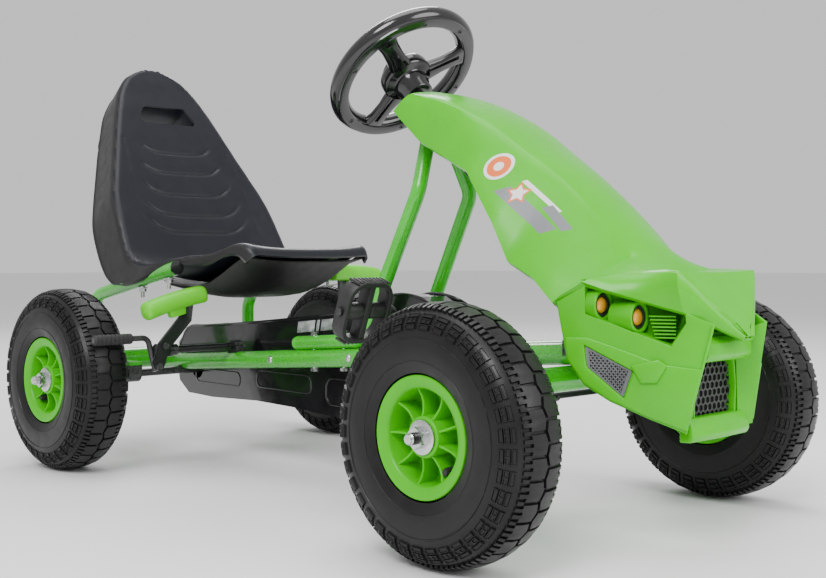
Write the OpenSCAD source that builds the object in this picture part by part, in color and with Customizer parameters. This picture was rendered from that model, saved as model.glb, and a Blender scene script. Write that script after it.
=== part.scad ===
// Pedal go kart for a child. X is the direction of travel, Y the driver's left, Z up.
// Inside place() the X coordinate is measured from the front axle.

/* [Chassis] */
// Distance between the front and rear axles
wheelbase = 755; // [740:5:770]
// X of the front axle in the kart's own frame
front_axle_x = 388; // [370:1:400]
// Distance between the centres of the front tyres
track_front = 500; // [490:2:520]
// Distance between the centres of the rear tyres
track_rear = 516; // [506:2:530]
// Outer diameter of the two main rails
rail_d = 25; // [24:0.5:26]
// Distance between the centres of the two main rails
rail_gap = 108; // [106:1:110]
// Height of the rail centres above the front axle line
rail_front_h = 198; // [196:1:200]
// Outer diameter of the front cross beam
beam_d = 28; // [26:1:28]
// Outer diameter of the rear cross tube
cross_d = 32; // [30:1:33]
// Outer diameter of the seat support tubes
seat_tube_d = 21; // [20:0.5:22]
// Outer diameter of the steering uprights
upright_d = 19; // [18:0.5:20]
// Wall thickness of every frame tube
tube_wall = 1.8; // [1.5:0.1:2.5]

/* [Wheels] */
// Outer diameter of the tyres
tyre_d = 260; // [256:1:264]
// Width of the tyres
tyre_w = 84; // [80:1:86]
// Outer diameter of the rims, where the tyre beads sit
rim_d = 121; // [120:0.5:122]
// Width of the rims
rim_w = 70; // [66:1:72]
// Number of ribs on each side of a rim
rib_count = 9; // [7:1:12]
// Diameter of all wheel axles
axle_d = 12; // [11.5:0.1:12.2]
// Outer diameter of the wheel bearings
bearing_d = 32; // [30:1:32]
// Width of the wheel bearings
bearing_w = 10; // [9:0.5:11]

/* [Steering] */
// Angle of the steering column from the vertical
column_rake = 41.75; // [41:0.25:42.5]
// Diameter of the steering column
column_d = 16; // [15:0.5:16]
// Distance from the column's lower end plate to the steering wheel
column_len = 468; // [460:2:474]
// Outer radius of the steering wheel
wheel_r = 106; // [100:1:110]
// Thickness of the steering wheel's rim
wheel_rim_d = 25; // [22:1:27]
// Distance of each king pin from the centre plane
kingpin_y = 180; // [179:0.5:182]
// Distance of the tie rods behind the front axle
tie_rod_back = 72; // [71:0.5:73]
// Height of the tie rods above the ground
tie_rod_h = 140; // [139:0.5:141]

/* [Drive] */
// Distance of the crankshaft behind the front axle
crank_back = 284; // [282:1:288]
// Height of the crankshaft above the ground
crank_h = 148; // [147:1:149]
// Length of each crank arm
crank_len = 100; // [95:1:102]
// Angle of the right crank arm from the vertical, leaning forward
crank_lean = 23; // [15:1:30]
// Diameter of the bent crank rod
crank_d = 14; // [13:0.5:14]
// Teeth on the chainring
chainring_teeth = 24; // [22:1:24]
// Teeth on the rear sprocket
sprocket_teeth = 12; // [11:1:12]
// Pitch of the chain
chain_pitch = 12.7; // [12.6:0.1:12.8]
// Height of a pedal's tread
pedal_h = 77; // [70:1:80]
// Length of a pedal along its spindle
pedal_l = 70; // [64:1:74]
// Thickness of a pedal
pedal_t = 21; // [19:1:23]

/* [Brakes] */
// Distance of the brake pivots behind the front axle
brake_back = 620; // [619:0.5:621]
// Height of the brake pivots above the ground
brake_h = 174; // [173:0.5:175]
// Thickness of the flat brake levers
lever_t = 5; // [4:0.5:6]
// Width of the flat brake levers
lever_w = 18; // [16:1:20]
// Diameter of a brake grip
grip_d = 27; // [24:0.5:28]
// Length of a brake grip
grip_len = 104; // [96:2:106]
// Outer diameter of the rubber sleeve that presses on the tyre
sleeve_rubber_d = 15; // [14:0.5:15]

/* [Body] */
// Wall thickness of the moulded fairing and bumper
shell_t = 3; // [2.5:0.5:4]
// Wall thickness of the seat
seat_t = 4; // [3:0.5:5]
// Running clearance on the radius of every bearing fit
fit = 0.05; // [0.02:0.01:0.08]
// Gap left between faces that move past each other
gap = 0.5; // [0.4:0.1:1]

/* [Hidden] */
$fn = 48;

FRAME_GREEN = [0.30, 0.82, 0.13];
SHELL_GREEN = [0.50, 0.90, 0.05];
GRIP_GREEN = [0.62, 0.98, 0.05];
BLACK = [0.06, 0.06, 0.07];
RUBBER = [0.10, 0.10, 0.11];
ZINC = [0.75, 0.76, 0.78];
AMBER = [0.95, 0.60, 0.10];

RIGHT = -1;
LEFT = 1;
axle_h = tyre_d / 2;
rail_slope = 0.073;
rail_y = rail_gap / 2;
rail_r = rail_d / 2;
rail_front_x = 14;
cross_x = -wheelbase - 48;
cross_h = 149;
cross_end = 176;
beam_h = 171;
beam_end = 166;
yoke_t = 6;
yoke_w = 32;
sleeve_h = 43;
sleeve_d = 24;
kingpin_d = 10;
hub_r = 21;
hub_half = 30;
seat_tube_y = 150;
bend_r = 38;
head_back = 102;
head_len = 60;
head_d = 30;
bush_wall = 2;
bush_len = 16;
arm_t = 6;
arm_w = 16;
rod_d = 8;
sprocket_t = 3;
chainring_r = chain_pitch / 2 / sin(180 / chainring_teeth);
sprocket_r = chain_pitch / 2 / sin(180 / sprocket_teeth);
chain_y = -8;
chain_w = 8;
case_half_w = 31;
case_wall = 2.5;
case_split_front = 172;
case_split_rear = 146;
block_y = 150;
block_w = 22;
block_r = 13;
crank_arm_y = 85;
pedal_mid_y = 137;
pedal_hole_r = 5.5;
seat_slope = [238, 46];
seat_tube_front = [-630, 290];
seat_tube_left_end = -642;

// Height of the rail centres at a distance x from the front axle
function rail_z(x) = rail_front_h + rail_slope * x;
function unit(v) = v / norm(v);
function turn(a, b) = acos(max(-1, min(1, a * b)));
// A point on the steering column's axis, measured up from its lower end plate
function on_column(s) = [-6 - s * sin(column_rake), 0, 200 + s * cos(column_rake)];
// Mirrors a list of points to the given side of the kart
function to_side(side, pts) = [for (p = pts) [p[0], side * p[1], p[2]]];

module place() {
    translate([front_axle_x, 0, 0]) children();
}

module at_rear() {
    translate([front_axle_x - wheelbase, 0, axle_h]) children();
}

// Turns +Z to point along v, then moves to p
module along(p, v) {
    translate(p) rotate([0, acos(v[2] / norm(v)), atan2(v[1], v[0])]) children();
}

// Cylinder between two points
module rod(a, b, d) {
    along(a, b - a) cylinder(h = norm(b - a), d = d);
}

// Cylinder about a line along Y
module y_disc(r, y0, y1) {
    translate([0, y0, 0]) rotate([-90, 0, 0]) cylinder(h = y1 - y0, r = r);
}

// One bend of a rod, a slice of a torus that joins the directions d0 and d1
module bend(corner, d0, d1, d, r) {
    angle = turn(d0, d1);
    n = unit(cross(d0, d1));
    start = corner - r * tan(angle / 2) * d0;
    out = -cross(n, d0);
    centre = start - r * out;
    multmatrix([
        [out[0], d0[0], n[0], centre[0]],
        [out[1], d0[1], n[1], centre[1]],
        [out[2], d0[2], n[2], centre[2]]])
        rotate_extrude(angle = angle) translate([r, 0]) circle(d = d);
}

// Rod that follows a path, with a round bend at each inner point. The straight pieces
// reach a little way over the bends, which are a hair thinner, so that all of them fuse.
module bent_rod(path, d, r) {
    lap = 0.8;
    step = 0.12;
    n = len(path) - 1;
    dirs = [for (i = [0 : n - 1]) unit(path[i + 1] - path[i])];
    cut = [for (i = [0 : n]) (i == 0 || i == n) ? 0 : r * tan(turn(dirs[i - 1], dirs[i]) / 2) - lap];
    for (i = [0 : n - 1])
        rod(path[i] + cut[i] * dirs[i], path[i + 1] - cut[i + 1] * dirs[i], d);
    for (i = [1 : 1 : n - 1])
        bend(path[i], dirs[i - 1], dirs[i], d - step, r);
}

module bent_tube(path, d, r) {
    difference() {
        bent_rod(path, d, r);
        bent_rod(path, d - 2 * tube_wall, r);
    }
}

// Closed sheet of thickness t under a grid of points, rows of equal length
module thick_sheet(grid, t) {
    rows = len(grid);
    cols = len(grid[0]);
    function at(i, j) = grid[max(0, min(rows - 1, i))][max(0, min(cols - 1, j))];
    function normal(i, j) = unit(cross(at(i + 1, j) - at(i - 1, j), at(i, j + 1) - at(i, j - 1)));
    top = [for (i = [0 : rows - 1]) for (j = [0 : cols - 1]) at(i, j)];
    low = [for (i = [0 : rows - 1]) for (j = [0 : cols - 1]) at(i, j) - t * normal(i, j)];
    n = rows * cols;
    quads = [for (i = [0 : rows - 2]) for (j = [0 : cols - 2])
        [i * cols + j, (i + 1) * cols + j, (i + 1) * cols + j + 1, i * cols + j + 1]];
    rim = concat(
        [for (j = [0 : cols - 2]) [j, j + 1]],
        [for (i = [0 : rows - 2]) [(i + 1) * cols - 1, (i + 2) * cols - 1]],
        [for (j = [cols - 2 : -1 : 0]) [n - cols + j + 1, n - cols + j]],
        [for (i = [rows - 2 : -1 : 0]) [(i + 1) * cols, i * cols]]);
    faces = concat(
        [for (q = quads) each [[q[2], q[1], q[0]], [q[3], q[2], q[0]]]],
        [for (q = quads) each [[n + q[0], n + q[1], n + q[2]], [n + q[0], n + q[2], n + q[3]]]],
        [for (e = rim) each [[e[1], e[0], n + e[0]], [e[1], n + e[0], n + e[1]]]]);
    polyhedron(concat(top, low), faces);
}

// ---------------------------------------------------------------- frame

module rail(side) {
    y = side * rail_y;
    x0 = cross_x;
    color(FRAME_GREEN) place() difference() {
        rod([x0, y, rail_z(x0)], [rail_front_x, y, rail_z(rail_front_x)], rail_d);
        rod([x0 - 1, y, rail_z(x0 - 1)], [rail_front_x + 1, y, rail_z(rail_front_x + 1)],
            rail_d - 2 * tube_wall);
        translate([cross_x, 0, cross_h]) y_disc(cross_d / 2, -cross_end, cross_end);
        translate([0, 0, beam_h]) y_disc(beam_d / 2, -beam_end, beam_end);
        // Notch over the rear axle
        translate([-wheelbase, 0, axle_h]) y_disc(axle_d / 2 + 1.5, -cross_end, cross_end);
        for (x = foot_bolt_x)
            translate([x, y, rail_z(x) - rail_d]) cylinder(h = 3 * rail_d, r = 3.1);
    }
}

foot_bolt_x = [-436, -374];

// Rear cross tube with the plates that carry the axle blocks
module rear_cross_tube() {
    color(FRAME_GREEN) place() {
        translate([cross_x, 0, cross_h]) difference() {
            y_disc(cross_d / 2, -cross_end, cross_end);
            y_disc(cross_d / 2 - tube_wall, -cross_end - 1, cross_end + 1);
        }
        for (side = [LEFT, RIGHT]) axle_plate(side);
    }
}

// Flat plate welded to the cross tube, reaching forward over the axle block
module axle_plate(side) {
    reach = 62;
    top = axle_h + block_r + 5;
    difference() {
        translate([cross_x, side * block_y - block_w / 2, top - 5])
            cube([reach, block_w, 5]);
        translate([cross_x, 0, cross_h]) y_disc(cross_d / 2, -cross_end, cross_end);
    }
}

// Cross beam with a fork at each end for the king pin, and the column's lower bearing
module front_beam() {
    lower = on_column(14);
    axis = on_column(1) - on_column(0);
    color(FRAME_GREEN) place() difference() {
        union() {
            difference() {
                translate([0, 0, beam_h]) y_disc(beam_d / 2, -beam_end, beam_end);
                translate([0, 0, beam_h]) y_disc(beam_d / 2 - tube_wall, -beam_end - 1, beam_end + 1);
            }
            for (side = [LEFT, RIGHT]) fork(side);
            along(lower, axis) translate([-38, -14, -4]) cube([50, 28, 8]);
            translate([11, -14, beam_h - 3]) cube([6, 28, 63]);
        }
        along(lower, axis) translate([0, 0, -10]) cylinder(h = 20, d = column_d + 2 * fit);
        for (side = [LEFT, RIGHT])
            translate([0, side * kingpin_y, 0]) cylinder(h = axle_h * 2, d = kingpin_d);
    }
}

module fork(side) {
    inner = beam_end - 8;
    outer = kingpin_y + 13;
    height = sleeve_h + 2 * gap;
    low = axle_h - height / 2 - yoke_t;
    for (z = [low, axle_h + height / 2])
        translate([-yoke_w / 2, min(side * inner, side * outer), z]) cube([yoke_w, outer - inner, yoke_t]);
    translate([-yoke_w / 2, side * (inner + 2.5) - 2.5, low]) cube([yoke_w, 5, beam_h - low]);
}

module kingpins() {
    half = sleeve_h / 2 + gap + yoke_t;
    color(ZINC) place() for (side = [LEFT, RIGHT]) translate([0, side * kingpin_y, axle_h]) {
        translate([0, 0, -half - 12]) cylinder(h = 2 * half + 12, d = kingpin_d);
        translate([0, 0, half]) cylinder(h = 6.5, r = 8.5, $fn = 6);
        translate([0, 0, -half - 8]) cylinder(h = 8, r = 8.5, $fn = 6);
    }
}

// Height of the seat tubes' centres over their sloping stretch
function seat_tube_z(x) = seat_tube_front[1] + (x - seat_tube_front[0]) * seat_slope[1] / seat_slope[0];
// Front end of a seat tube; the left one is shorter, to clear its longer brake lever
function seat_tube_end(side) =
    let (x = side == LEFT ? seat_tube_left_end : seat_tube_front[0]) [x, side * seat_tube_y, seat_tube_z(x)];

function seat_tube_path(side) = [
    [cross_x, side * seat_tube_y, cross_h],
    [cross_x - 65, side * seat_tube_y, cross_h],
    [cross_x - 65, side * seat_tube_y, seat_tube_z(cross_x - 65)],
    seat_tube_end(side)];

seat_bolt_x = [-722, -650];

module seat_tube(side) {
    color(FRAME_GREEN) place() difference() {
        bent_tube(seat_tube_path(side), seat_tube_d, bend_r);
        translate([cross_x, 0, cross_h]) y_disc(cross_d / 2, -cross_end - 40, cross_end + 40);
        for (x = seat_bolt_x)
            translate([x, side * seat_tube_y, 200]) cylinder(h = 150, r = 3.2);
    }
}

function upright_path(side) = to_side(side, [
    [-472, rail_y, rail_z(-472) + rail_r + upright_d / 2],
    [-336, rail_y, rail_z(-336) + rail_r + upright_d / 2],
    [-240, 48, 386],
    [-253, 12, 476]]);

module upright(side) {
    head = on_column(column_len - head_back);
    axis = on_column(1) - on_column(0);
    color(FRAME_GREEN) place() difference() {
        bent_tube(upright_path(side), upright_d, 30);
        along(head, axis) translate([0, 0, -head_len]) cylinder(h = 2 * head_len, d = head_d);
        for (x = foot_bolt_x)
            translate([x, side * rail_y, rail_z(x)]) cylinder(h = 60, r = 3.1);
    }
}

module steering_head() {
    head = on_column(column_len - head_back);
    axis = on_column(1) - on_column(0);
    color(FRAME_GREEN) place() along(head, axis) difference() {
        translate([0, 0, -head_len / 2]) cylinder(h = head_len, d = head_d);
        translate([0, 0, -head_len]) cylinder(h = 2 * head_len, d = column_d + 2 * bush_wall);
    }
}

// Two flanged plastic bushes pressed into the ends of the steering head
module head_bushes() {
    head = on_column(column_len - head_back);
    axis = on_column(1) - on_column(0);
    color(BLACK) place() for (end = [-1, 1]) along(head, axis * end) difference() {
        union() {
            translate([0, 0, head_len / 2 - bush_len]) cylinder(h = bush_len, d = column_d + 2 * bush_wall);
            translate([0, 0, head_len / 2]) cylinder(h = 3, d = head_d);
        }
        cylinder(h = head_len, d = column_d + 2 * fit);
    }
}

// Black plugs in the open ends of the rails, cross tube and seat tubes
module tube_plugs() {
    tilt = [seat_slope[0], 0, seat_slope[1]];
    color(BLACK) place() for (side = [LEFT, RIGHT]) {
        plug([rail_front_x, side * rail_y, rail_z(rail_front_x)], [1, 0, rail_slope], rail_d);
        plug([cross_x, side * cross_end, cross_h], [0, side, 0], cross_d);
        plug(seat_tube_end(side), tilt, seat_tube_d);
    }
}

module plug(p, v, d) {
    inner = d - 2 * tube_wall;
    along(p, v) {
        translate([0, 0, -3]) cylinder(h = 3, d = inner);
        cylinder(h = 2.5, d = d);
    }
}

// Bolts that clamp each upright's foot on its rail, with heads below
module frame_bolts() {
    color(ZINC) place() for (side = [LEFT, RIGHT]) {
        for (x = foot_bolt_x) {
            low = rail_z(x) - rail_r;
            top = rail_z(x) + rail_r + upright_d;
            translate([x, side * rail_y, low - 1]) cylinder(h = top - low + 6, r = 3);
            translate([x, side * rail_y, low - 5]) cylinder(h = 4.2, r = 5.5, $fn = 6);
            translate([x, side * rail_y, top + 0.7]) cylinder(h = 4, r = 5.5, $fn = 6);
        }
    }
}

// ---------------------------------------------------------------- wheels

// Half of a rounded square outline, from one side over the top to the other
function squircle(a, b, n, steps) = [for (i = [0 : steps - 1])
    let (t = 360 * i / steps, c = cos(t), s = sin(t))
    [a * sign(c) * pow(abs(c), 2 / n), b * sign(s) * pow(abs(s), 2 / n)]];

tyre_mid_r = 88;

// Profile turned about the wheel's axle, which lies along Y
module turned() {
    rotate([-90, 0, 0]) rotate_extrude($fn = 96) rotate(90) children();
}

module tyre() {
    outer_h = tyre_d / 2 - tyre_mid_r;
    color(RUBBER) difference() {
        turned() translate([0, -tyre_mid_r]) polygon(squircle(tyre_w / 2, outer_h, 2.6, 40));
        turned() translate([0, -tyre_mid_r]) polygon(squircle(tyre_w / 2 - 6, outer_h - 7, 2.6, 32));
        y_disc(rim_d / 2, -tyre_w, tyre_w);
    }
}

module rim() {
    barrel = 4;
    inner_r = rim_d / 2 - barrel;
    web = 5;
    color(SHELL_GREEN) difference() {
        union() {
            difference() {
                y_disc(rim_d / 2, -rim_w / 2, rim_w / 2);
                y_disc(inner_r, -rim_w, rim_w);
            }
            y_disc(inner_r + 0.5, -web / 2, web / 2);
            y_disc(hub_r, -hub_half, hub_half);
            for (i = [0 : rib_count - 1]) rotate([0, i * 360 / rib_count, 0])
                translate([-2.5, -25, hub_r - 3]) cube([5, 50, inner_r - hub_r + 4]);
        }
        y_disc(axle_d / 2 + 3, -rim_w, rim_w);
        for (side = [LEFT, RIGHT])
            y_disc(bearing_d / 2, side == LEFT ? hub_half - bearing_w : -hub_half - 1,
                side == LEFT ? hub_half + 1 : bearing_w - hub_half);
    }
}

// Two sealed bearings in the hub
module wheel_bearings() {
    color(ZINC) for (side = [LEFT, RIGHT]) difference() {
        y_disc(bearing_d / 2, side == LEFT ? hub_half - bearing_w : -hub_half,
            side == LEFT ? hub_half : bearing_w - hub_half);
        y_disc(axle_d / 2 + fit, -rim_w, rim_w);
    }
}

// Washer and nut outside the hub, on the end of an axle
module axle_nut(side) {
    start = hub_half + gap;
    color(ZINC) difference() {
        union() {
            y_disc(13, min(side * start, side * (start + 2.5)), max(side * start, side * (start + 2.5)));
            translate([0, side * (start + 2.5), 0]) rotate([side > 0 ? -90 : 90, 0, 0])
                cylinder(h = 9, r = 10.4, $fn = 6);
        }
        y_disc(axle_d / 2, -rim_w, rim_w);
    }
}

module front_wheel_place(side) {
    place() translate([0, side * track_front / 2, axle_h]) children();
}

module rear_wheel_place(side) {
    at_rear() translate([0, side * track_rear / 2, 0]) children();
}

// ---------------------------------------------------------------- steering

// Sleeve on the king pin with the stub axle and the steering arm
module knuckle(side) {
    stub_end = track_front / 2 + hub_half + 17;
    shoulder = track_front / 2 - hub_half - gap;
    arm_z = tie_rod_h - axle_h + rod_d / 2 + gap;
    color(BLACK) place() translate([0, side * kingpin_y, axle_h]) difference() {
        union() {
            translate([0, 0, -sleeve_h / 2]) cylinder(h = sleeve_h, d = sleeve_d);
            rotate([side > 0 ? -90 : 90, 0, 0]) {
                cylinder(h = shoulder - kingpin_y, r = 10);
                cylinder(h = stub_end - kingpin_y, d = axle_d);
            }
            translate([-tie_rod_back, -arm_w / 2, arm_z]) cube([tie_rod_back - 6, arm_w, arm_t]);
            translate([-tie_rod_back, 0, arm_z]) cylinder(h = arm_t, d = arm_w);
        }
        translate([0, 0, -sleeve_h]) cylinder(h = 2 * sleeve_h, d = kingpin_d + 2 * fit);
        translate([-tie_rod_back, 0, 0]) cylinder(h = 40, r = 4 + fit);
    }
}

pitman_end = [-tie_rod_back, 0, tie_rod_h];

// Round column, with the arm at its foot that pulls both tie rods
module steering_column() {
    axis = on_column(1) - on_column(0);
    reach = norm([pitman_end[0] + 6, pitman_end[2] + 8 - 200]);
    color(BLACK) place() {
        along(on_column(-6), axis) cylinder(h = column_len + 4, d = column_d);
        along(on_column(0), axis) {
            translate([0, 0, -5]) cylinder(h = 10, r = 13);
            difference() {
                translate([0, -arm_w / 2, -3]) cube([reach + 8, arm_w, arm_t]);
                for (side = [LEFT, RIGHT])
                    translate([reach, side * 4, -10]) cylinder(h = 20, r = 2);
            }
        }
    }
}

// Rod between the column's arm and a knuckle. The inner end stops clear of the arm.
module tie_rod(side) {
    inner = [-tie_rod_back, side * 15, tie_rod_h];
    outer = [-tie_rod_back, side * kingpin_y, tie_rod_h];
    color(BLACK) place() {
        rod(inner, outer, rod_d);
        translate(outer) {
            translate([0, 0, -5]) cylinder(h = 9, r = 8);
            cylinder(h = 10 + arm_t, r = 4);
            translate([0, 0, rod_d / 2 + 2 * gap + arm_t]) cylinder(h = 5, r = 6.5, $fn = 6);
        }
        along(inner, inner - outer) cylinder(h = 4, r = 6.5);
    }
}

module steering_wheel() {
    axis = on_column(1) - on_column(0);
    rim_r = wheel_rim_d / 2;
    mid_r = wheel_r - rim_r;
    color(BLACK) place() along(on_column(column_len), axis) difference() {
        union() {
            rotate_extrude($fn = 96) translate([mid_r, 0]) circle(r = rim_r);
            for (a = [0, 125, 235]) rotate(a) translate([0, -13, -16]) cube([mid_r, 26, 12]);
            translate([0, 0, -44]) cylinder(h = 40, r = 20);
            translate([0, 0, -16]) cylinder(h = 14, r = 34);
        }
        translate([0, 0, -50]) cylinder(h = 48, d = column_d);
    }
}

module steering_wheel_cap() {
    axis = on_column(1) - on_column(0);
    color(BLACK) place() along(on_column(column_len), axis)
        translate([0, 0, -2]) cylinder(h = 14, r1 = 33, r2 = 27);
}

// ---------------------------------------------------------------- drive

// Rear axle, stepped down at both ends beyond its nuts
module rear_axle() {
    reach = track_rear / 2 + hub_half + 12;
    color(BLACK) at_rear() {
        y_disc(axle_d / 2, -reach, reach);
        y_disc(axle_d / 2 - 0.5, -reach - 6, reach + 6);
    }
}

// Split collars and nuts at both ends of the rear axle
module rear_axle_nuts() {
    color(ZINC) {
        for (side = [LEFT, RIGHT]) rear_wheel_place(side) axle_nut(side);
        for (side = [LEFT, RIGHT]) rear_wheel_place(side) difference() {
            y_disc(10, side > 0 ? -hub_half - gap - 12 : hub_half + gap,
                side > 0 ? -hub_half - gap : hub_half + gap + 12);
            y_disc(axle_d / 2, -90, 90);
        }
    }
}

// Bearing blocks bolted under the plates of the cross tube
module rear_axle_blocks() {
    color(BLACK) at_rear() for (side = [LEFT, RIGHT]) difference() {
        union() {
            y_disc(block_r, side * block_y - block_w / 2, side * block_y + block_w / 2);
            translate([-block_r, side * block_y - block_w / 2, 0]) cube([2 * block_r, block_w, block_r]);
        }
        y_disc(axle_d / 2 + fit, -cross_end - 20, cross_end + 20);
    }
}

// Toothed disc on a shaft along Y
module toothed_disc(r, teeth, bore) {
    tooth_w = chain_pitch * 0.4;
    difference() {
        union() {
            y_disc(r - 3.5, -sprocket_t / 2, sprocket_t / 2);
            for (i = [0 : teeth - 1]) rotate([0, i * 360 / teeth, 0])
                translate([-tooth_w / 2, -sprocket_t / 2, r - 8]) cube([tooth_w, sprocket_t, 9]);
        }
        y_disc(bore / 2, -20, 20);
    }
}

module rear_sprocket() {
    color(BLACK) at_rear() translate([0, chain_y, 0]) difference() {
        union() {
            toothed_disc(sprocket_r, sprocket_teeth, axle_d);
            y_disc(14, -9, 9);
        }
        y_disc(axle_d / 2, -20, 20);
    }
}

module at_crank() {
    place() translate([-crank_back, 0, crank_h]) children();
}

module chainring() {
    color(BLACK) at_crank() translate([0, chain_y, 0]) difference() {
        union() {
            toothed_disc(chainring_r, chainring_teeth, crank_d);
            y_disc(15, -8, 8);
        }
        y_disc(crank_d / 2, -20, 20);
        for (i = [0 : 4]) rotate([0, i * 72, 0]) translate([0, 0, 34]) y_disc(11, -10, 10);
    }
}

// Half section of the chain: two side plates and a back, open towards the teeth
module chain_section() {
    back = 3;
    plate = 2;
    translate([1.6, -chain_w / 2]) square([back, chain_w]);
    for (y = [-chain_w / 2, chain_w / 2 - plate]) translate([-4.5, y]) square([7, plate]);
}

// Closed loop over both sprockets
module chain() {
    c0 = [-wheelbase, axle_h];
    c1 = [-crank_back, crank_h];
    span = norm(c1 - c0);
    rise = atan2(c1[1] - c0[1], c1[0] - c0[0]);
    lean = asin((chainring_r - sprocket_r) / span);
    color(ZINC) place() translate([c0[0], chain_y, c0[1]]) rotate([0, -rise, 0]) rotate([90, 0, 0]) {
        rotate(90 + lean) rotate_extrude(angle = 180 - 2 * lean)
            translate([sprocket_r, 0]) chain_section();
        translate([span, 0]) rotate(-90 - lean) rotate_extrude(angle = 180 + 2 * lean)
            translate([chainring_r, 0]) chain_section();
        rotate(lean) chain_run(span * cos(lean));
        mirror([0, 1, 0]) rotate(lean) chain_run(span * cos(lean));
    }
}

// Straight stretch between the sprockets
module chain_run(length) {
    translate([0, sprocket_r, 0]) rotate([90, 0, 90]) linear_extrude(length) chain_section();
}

// Sides of the right and left crank arms
crank_dir = [sin(crank_lean), 0, cos(crank_lean)];

// One bent rod: left spindle, left arm, shaft, right arm, right spindle
module crank() {
    arm = crank_len * crank_dir;
    end = pedal_mid_y + pedal_l / 2 + 4;
    path = [[0, -end, 0] + arm, [0, -crank_arm_y, 0] + arm, [0, -crank_arm_y, 0],
        [0, crank_arm_y, 0], [0, crank_arm_y, 0] - arm, [0, end, 0] - arm];
    inner = pedal_mid_y - pedal_l / 2 - gap;
    color(BLACK) at_crank() difference() {
        bent_rod(path, crank_d, 12);
        for (side = [RIGHT, LEFT]) translate(-side * arm) difference() {
            y_disc(crank_d, side > 0 ? inner : -end - 1, side > 0 ? end + 1 : -inner);
            y_disc(pedal_hole_r - fit, side > 0 ? inner - 1 : -end - 2, side > 0 ? end + 2 : -inner + 1);
        }
    }
}

// Plates under the rails that carry the crankshaft
module crank_bearings() {
    color(FRAME_GREEN) at_crank() for (side = [LEFT, RIGHT]) difference() {
        union() {
            y_disc(14, side * rail_y - 5, side * rail_y + 5);
            translate([-14, side * rail_y - 5, 0]) cube([28, 10, rail_z(-crank_back) - crank_h]);
        }
        y_disc(crank_d / 2 + fit, -90, 90);
        translate([crank_back, 0, -crank_h]) rod([-crank_back - 60, side * rail_y, rail_z(-crank_back - 60)],
            [-crank_back + 60, side * rail_y, rail_z(-crank_back + 60)], rail_d);
    }
}

// Oval cage with a spindle tube, a centre bar and four openings
module pedal(side) {
    wall = 8;
    half_h = pedal_h / 2;
    half_l = pedal_l / 2;
    color(BLACK) at_crank() translate([0, side * pedal_mid_y, 0] - side * crank_len * crank_dir)
        rotate([0, 20, 0]) difference() {
            union() {
                rotate([90, 0, 90]) translate([0, 0, -pedal_t / 2]) linear_extrude(pedal_t) difference() {
                    pedal_outline(half_h, half_l, 24);
                    pedal_outline(half_h - wall, half_l - wall, 17);
                }
                translate([-pedal_t / 2, -6, -half_h + 3]) cube([pedal_t, 12, pedal_h - 6]);
                y_disc(10, -half_l + 0.1, half_l - 0.1);
            }
            y_disc(pedal_hole_r, -half_l - 1, half_l + 1);
        }
}

// Rectangle with its corners rounded by circles
module pedal_outline(half_h, half_l, r) {
    square([2 * (half_l - r), 2 * half_h], center = true);
    square([2 * half_l, 2 * (half_h - r)], center = true);
    for (x = [-1, 1]) for (y = [-1, 1])
        translate([x * (half_l - r), y * (half_h - r)]) circle(r = r);
}

// Side view of the case: rear curve, humped top and the deeper front end
module case_outline(inset) {
    offset(delta = -inset) polygon([
        [-806, 108], [-780, 90], [-712, 88], [-600, 92], [-500, 90], [-440, 86],
        [-380, 84], [-270, 66], [-225, 72], [-196, 100], [-186, 150], [-196, 205], [-225, 240],
        [-262, 254], [-300, 256], [-336, 246], [-372, 234], [-421, 226], [-609, 208],
        [-730, 199], [-782, 194], [-808, 170], [-814, 138]]);
}

// The case's side walls and rim, before it is split
module whole_case() {
    rotate([90, 0, 0]) difference() {
        linear_extrude(2 * case_half_w, center = true) case_outline(0);
        linear_extrude(2 * (case_half_w - case_wall), center = true) case_outline(case_wall);
    }
}

// Region above the line where the two halves meet
module above_split(shift) {
    rotate([90, 0, 0]) linear_extrude(4 * case_half_w, center = true)
        polygon([[-900, case_split_rear - 10 + shift], [-100, case_split_front + shift], [-100, 400], [-900, 400]]);
}

module case_holes() {
    translate([-wheelbase, 0, axle_h]) y_disc(15, -60, 60);
    translate([-crank_back, 0, crank_h]) y_disc(17, -60, 60);
    translate([cross_x, 0, cross_h]) y_disc(cross_d / 2 + gap, -60, 60);
}

module chain_case_upper() {
    color(BLACK) place() difference() {
        intersection() {
            whole_case();
            above_split(0);
        }
        case_holes();
    }
}

module chain_case_lower() {
    color(BLACK) place() difference() {
        whole_case();
        above_split(0);
        case_holes();
    }
}

// ---------------------------------------------------------------- brakes

lever_x = -611;
shoe = [-626.5, 200, 192];
shoe_end = 284;
hub_span = [166, 191];
shaft_end = 187.5;

// Outline of a lever in the YZ plane, from its lower bolt to the top of the stem
function lever_points(side) = side == LEFT ?
    [[195, 153], [185, 181], [149, 222], [146, 272]] : [[195, 153], [185, 181], [149, 219], [146, 243]];
// Middle of a grip, and how much it droops outwards
function grip_middle(side) = side == LEFT ? [-602, 165, 280] : [-609, 167, 242];
function grip_droop(side) = side == LEFT ? 3 : 14;

// Stub shaft on each rail that carries a brake lever, with a collar beside the lever's hub
module brake_pivots() {
    color(BLACK) place() for (side = [LEFT, RIGHT]) difference() {
        union() {
            translate([-brake_back, 0, brake_h]) {
                side_disc(side, 5, rail_y - 8, shaft_end);
                side_disc(side, 8, hub_span[0] - gap - 8, hub_span[0] - gap);
                side_disc(side, 9, rail_y - 6, rail_y + 6);
            }
            translate([-brake_back - 12, side * rail_y - 6, rail_z(-brake_back)])
                cube([24, 12, brake_h - rail_z(-brake_back)]);
        }
        rod([-brake_back - 60, side * rail_y, rail_z(-brake_back - 60)],
            [-brake_back + 60, side * rail_y, rail_z(-brake_back + 60)], rail_d);
    }
}

// Cylinder about a line along Y, between two distances from the centre plane
module side_disc(side, r, near, far) {
    y_disc(r, side > 0 ? near : -far, side > 0 ? far : -near);
}

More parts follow.
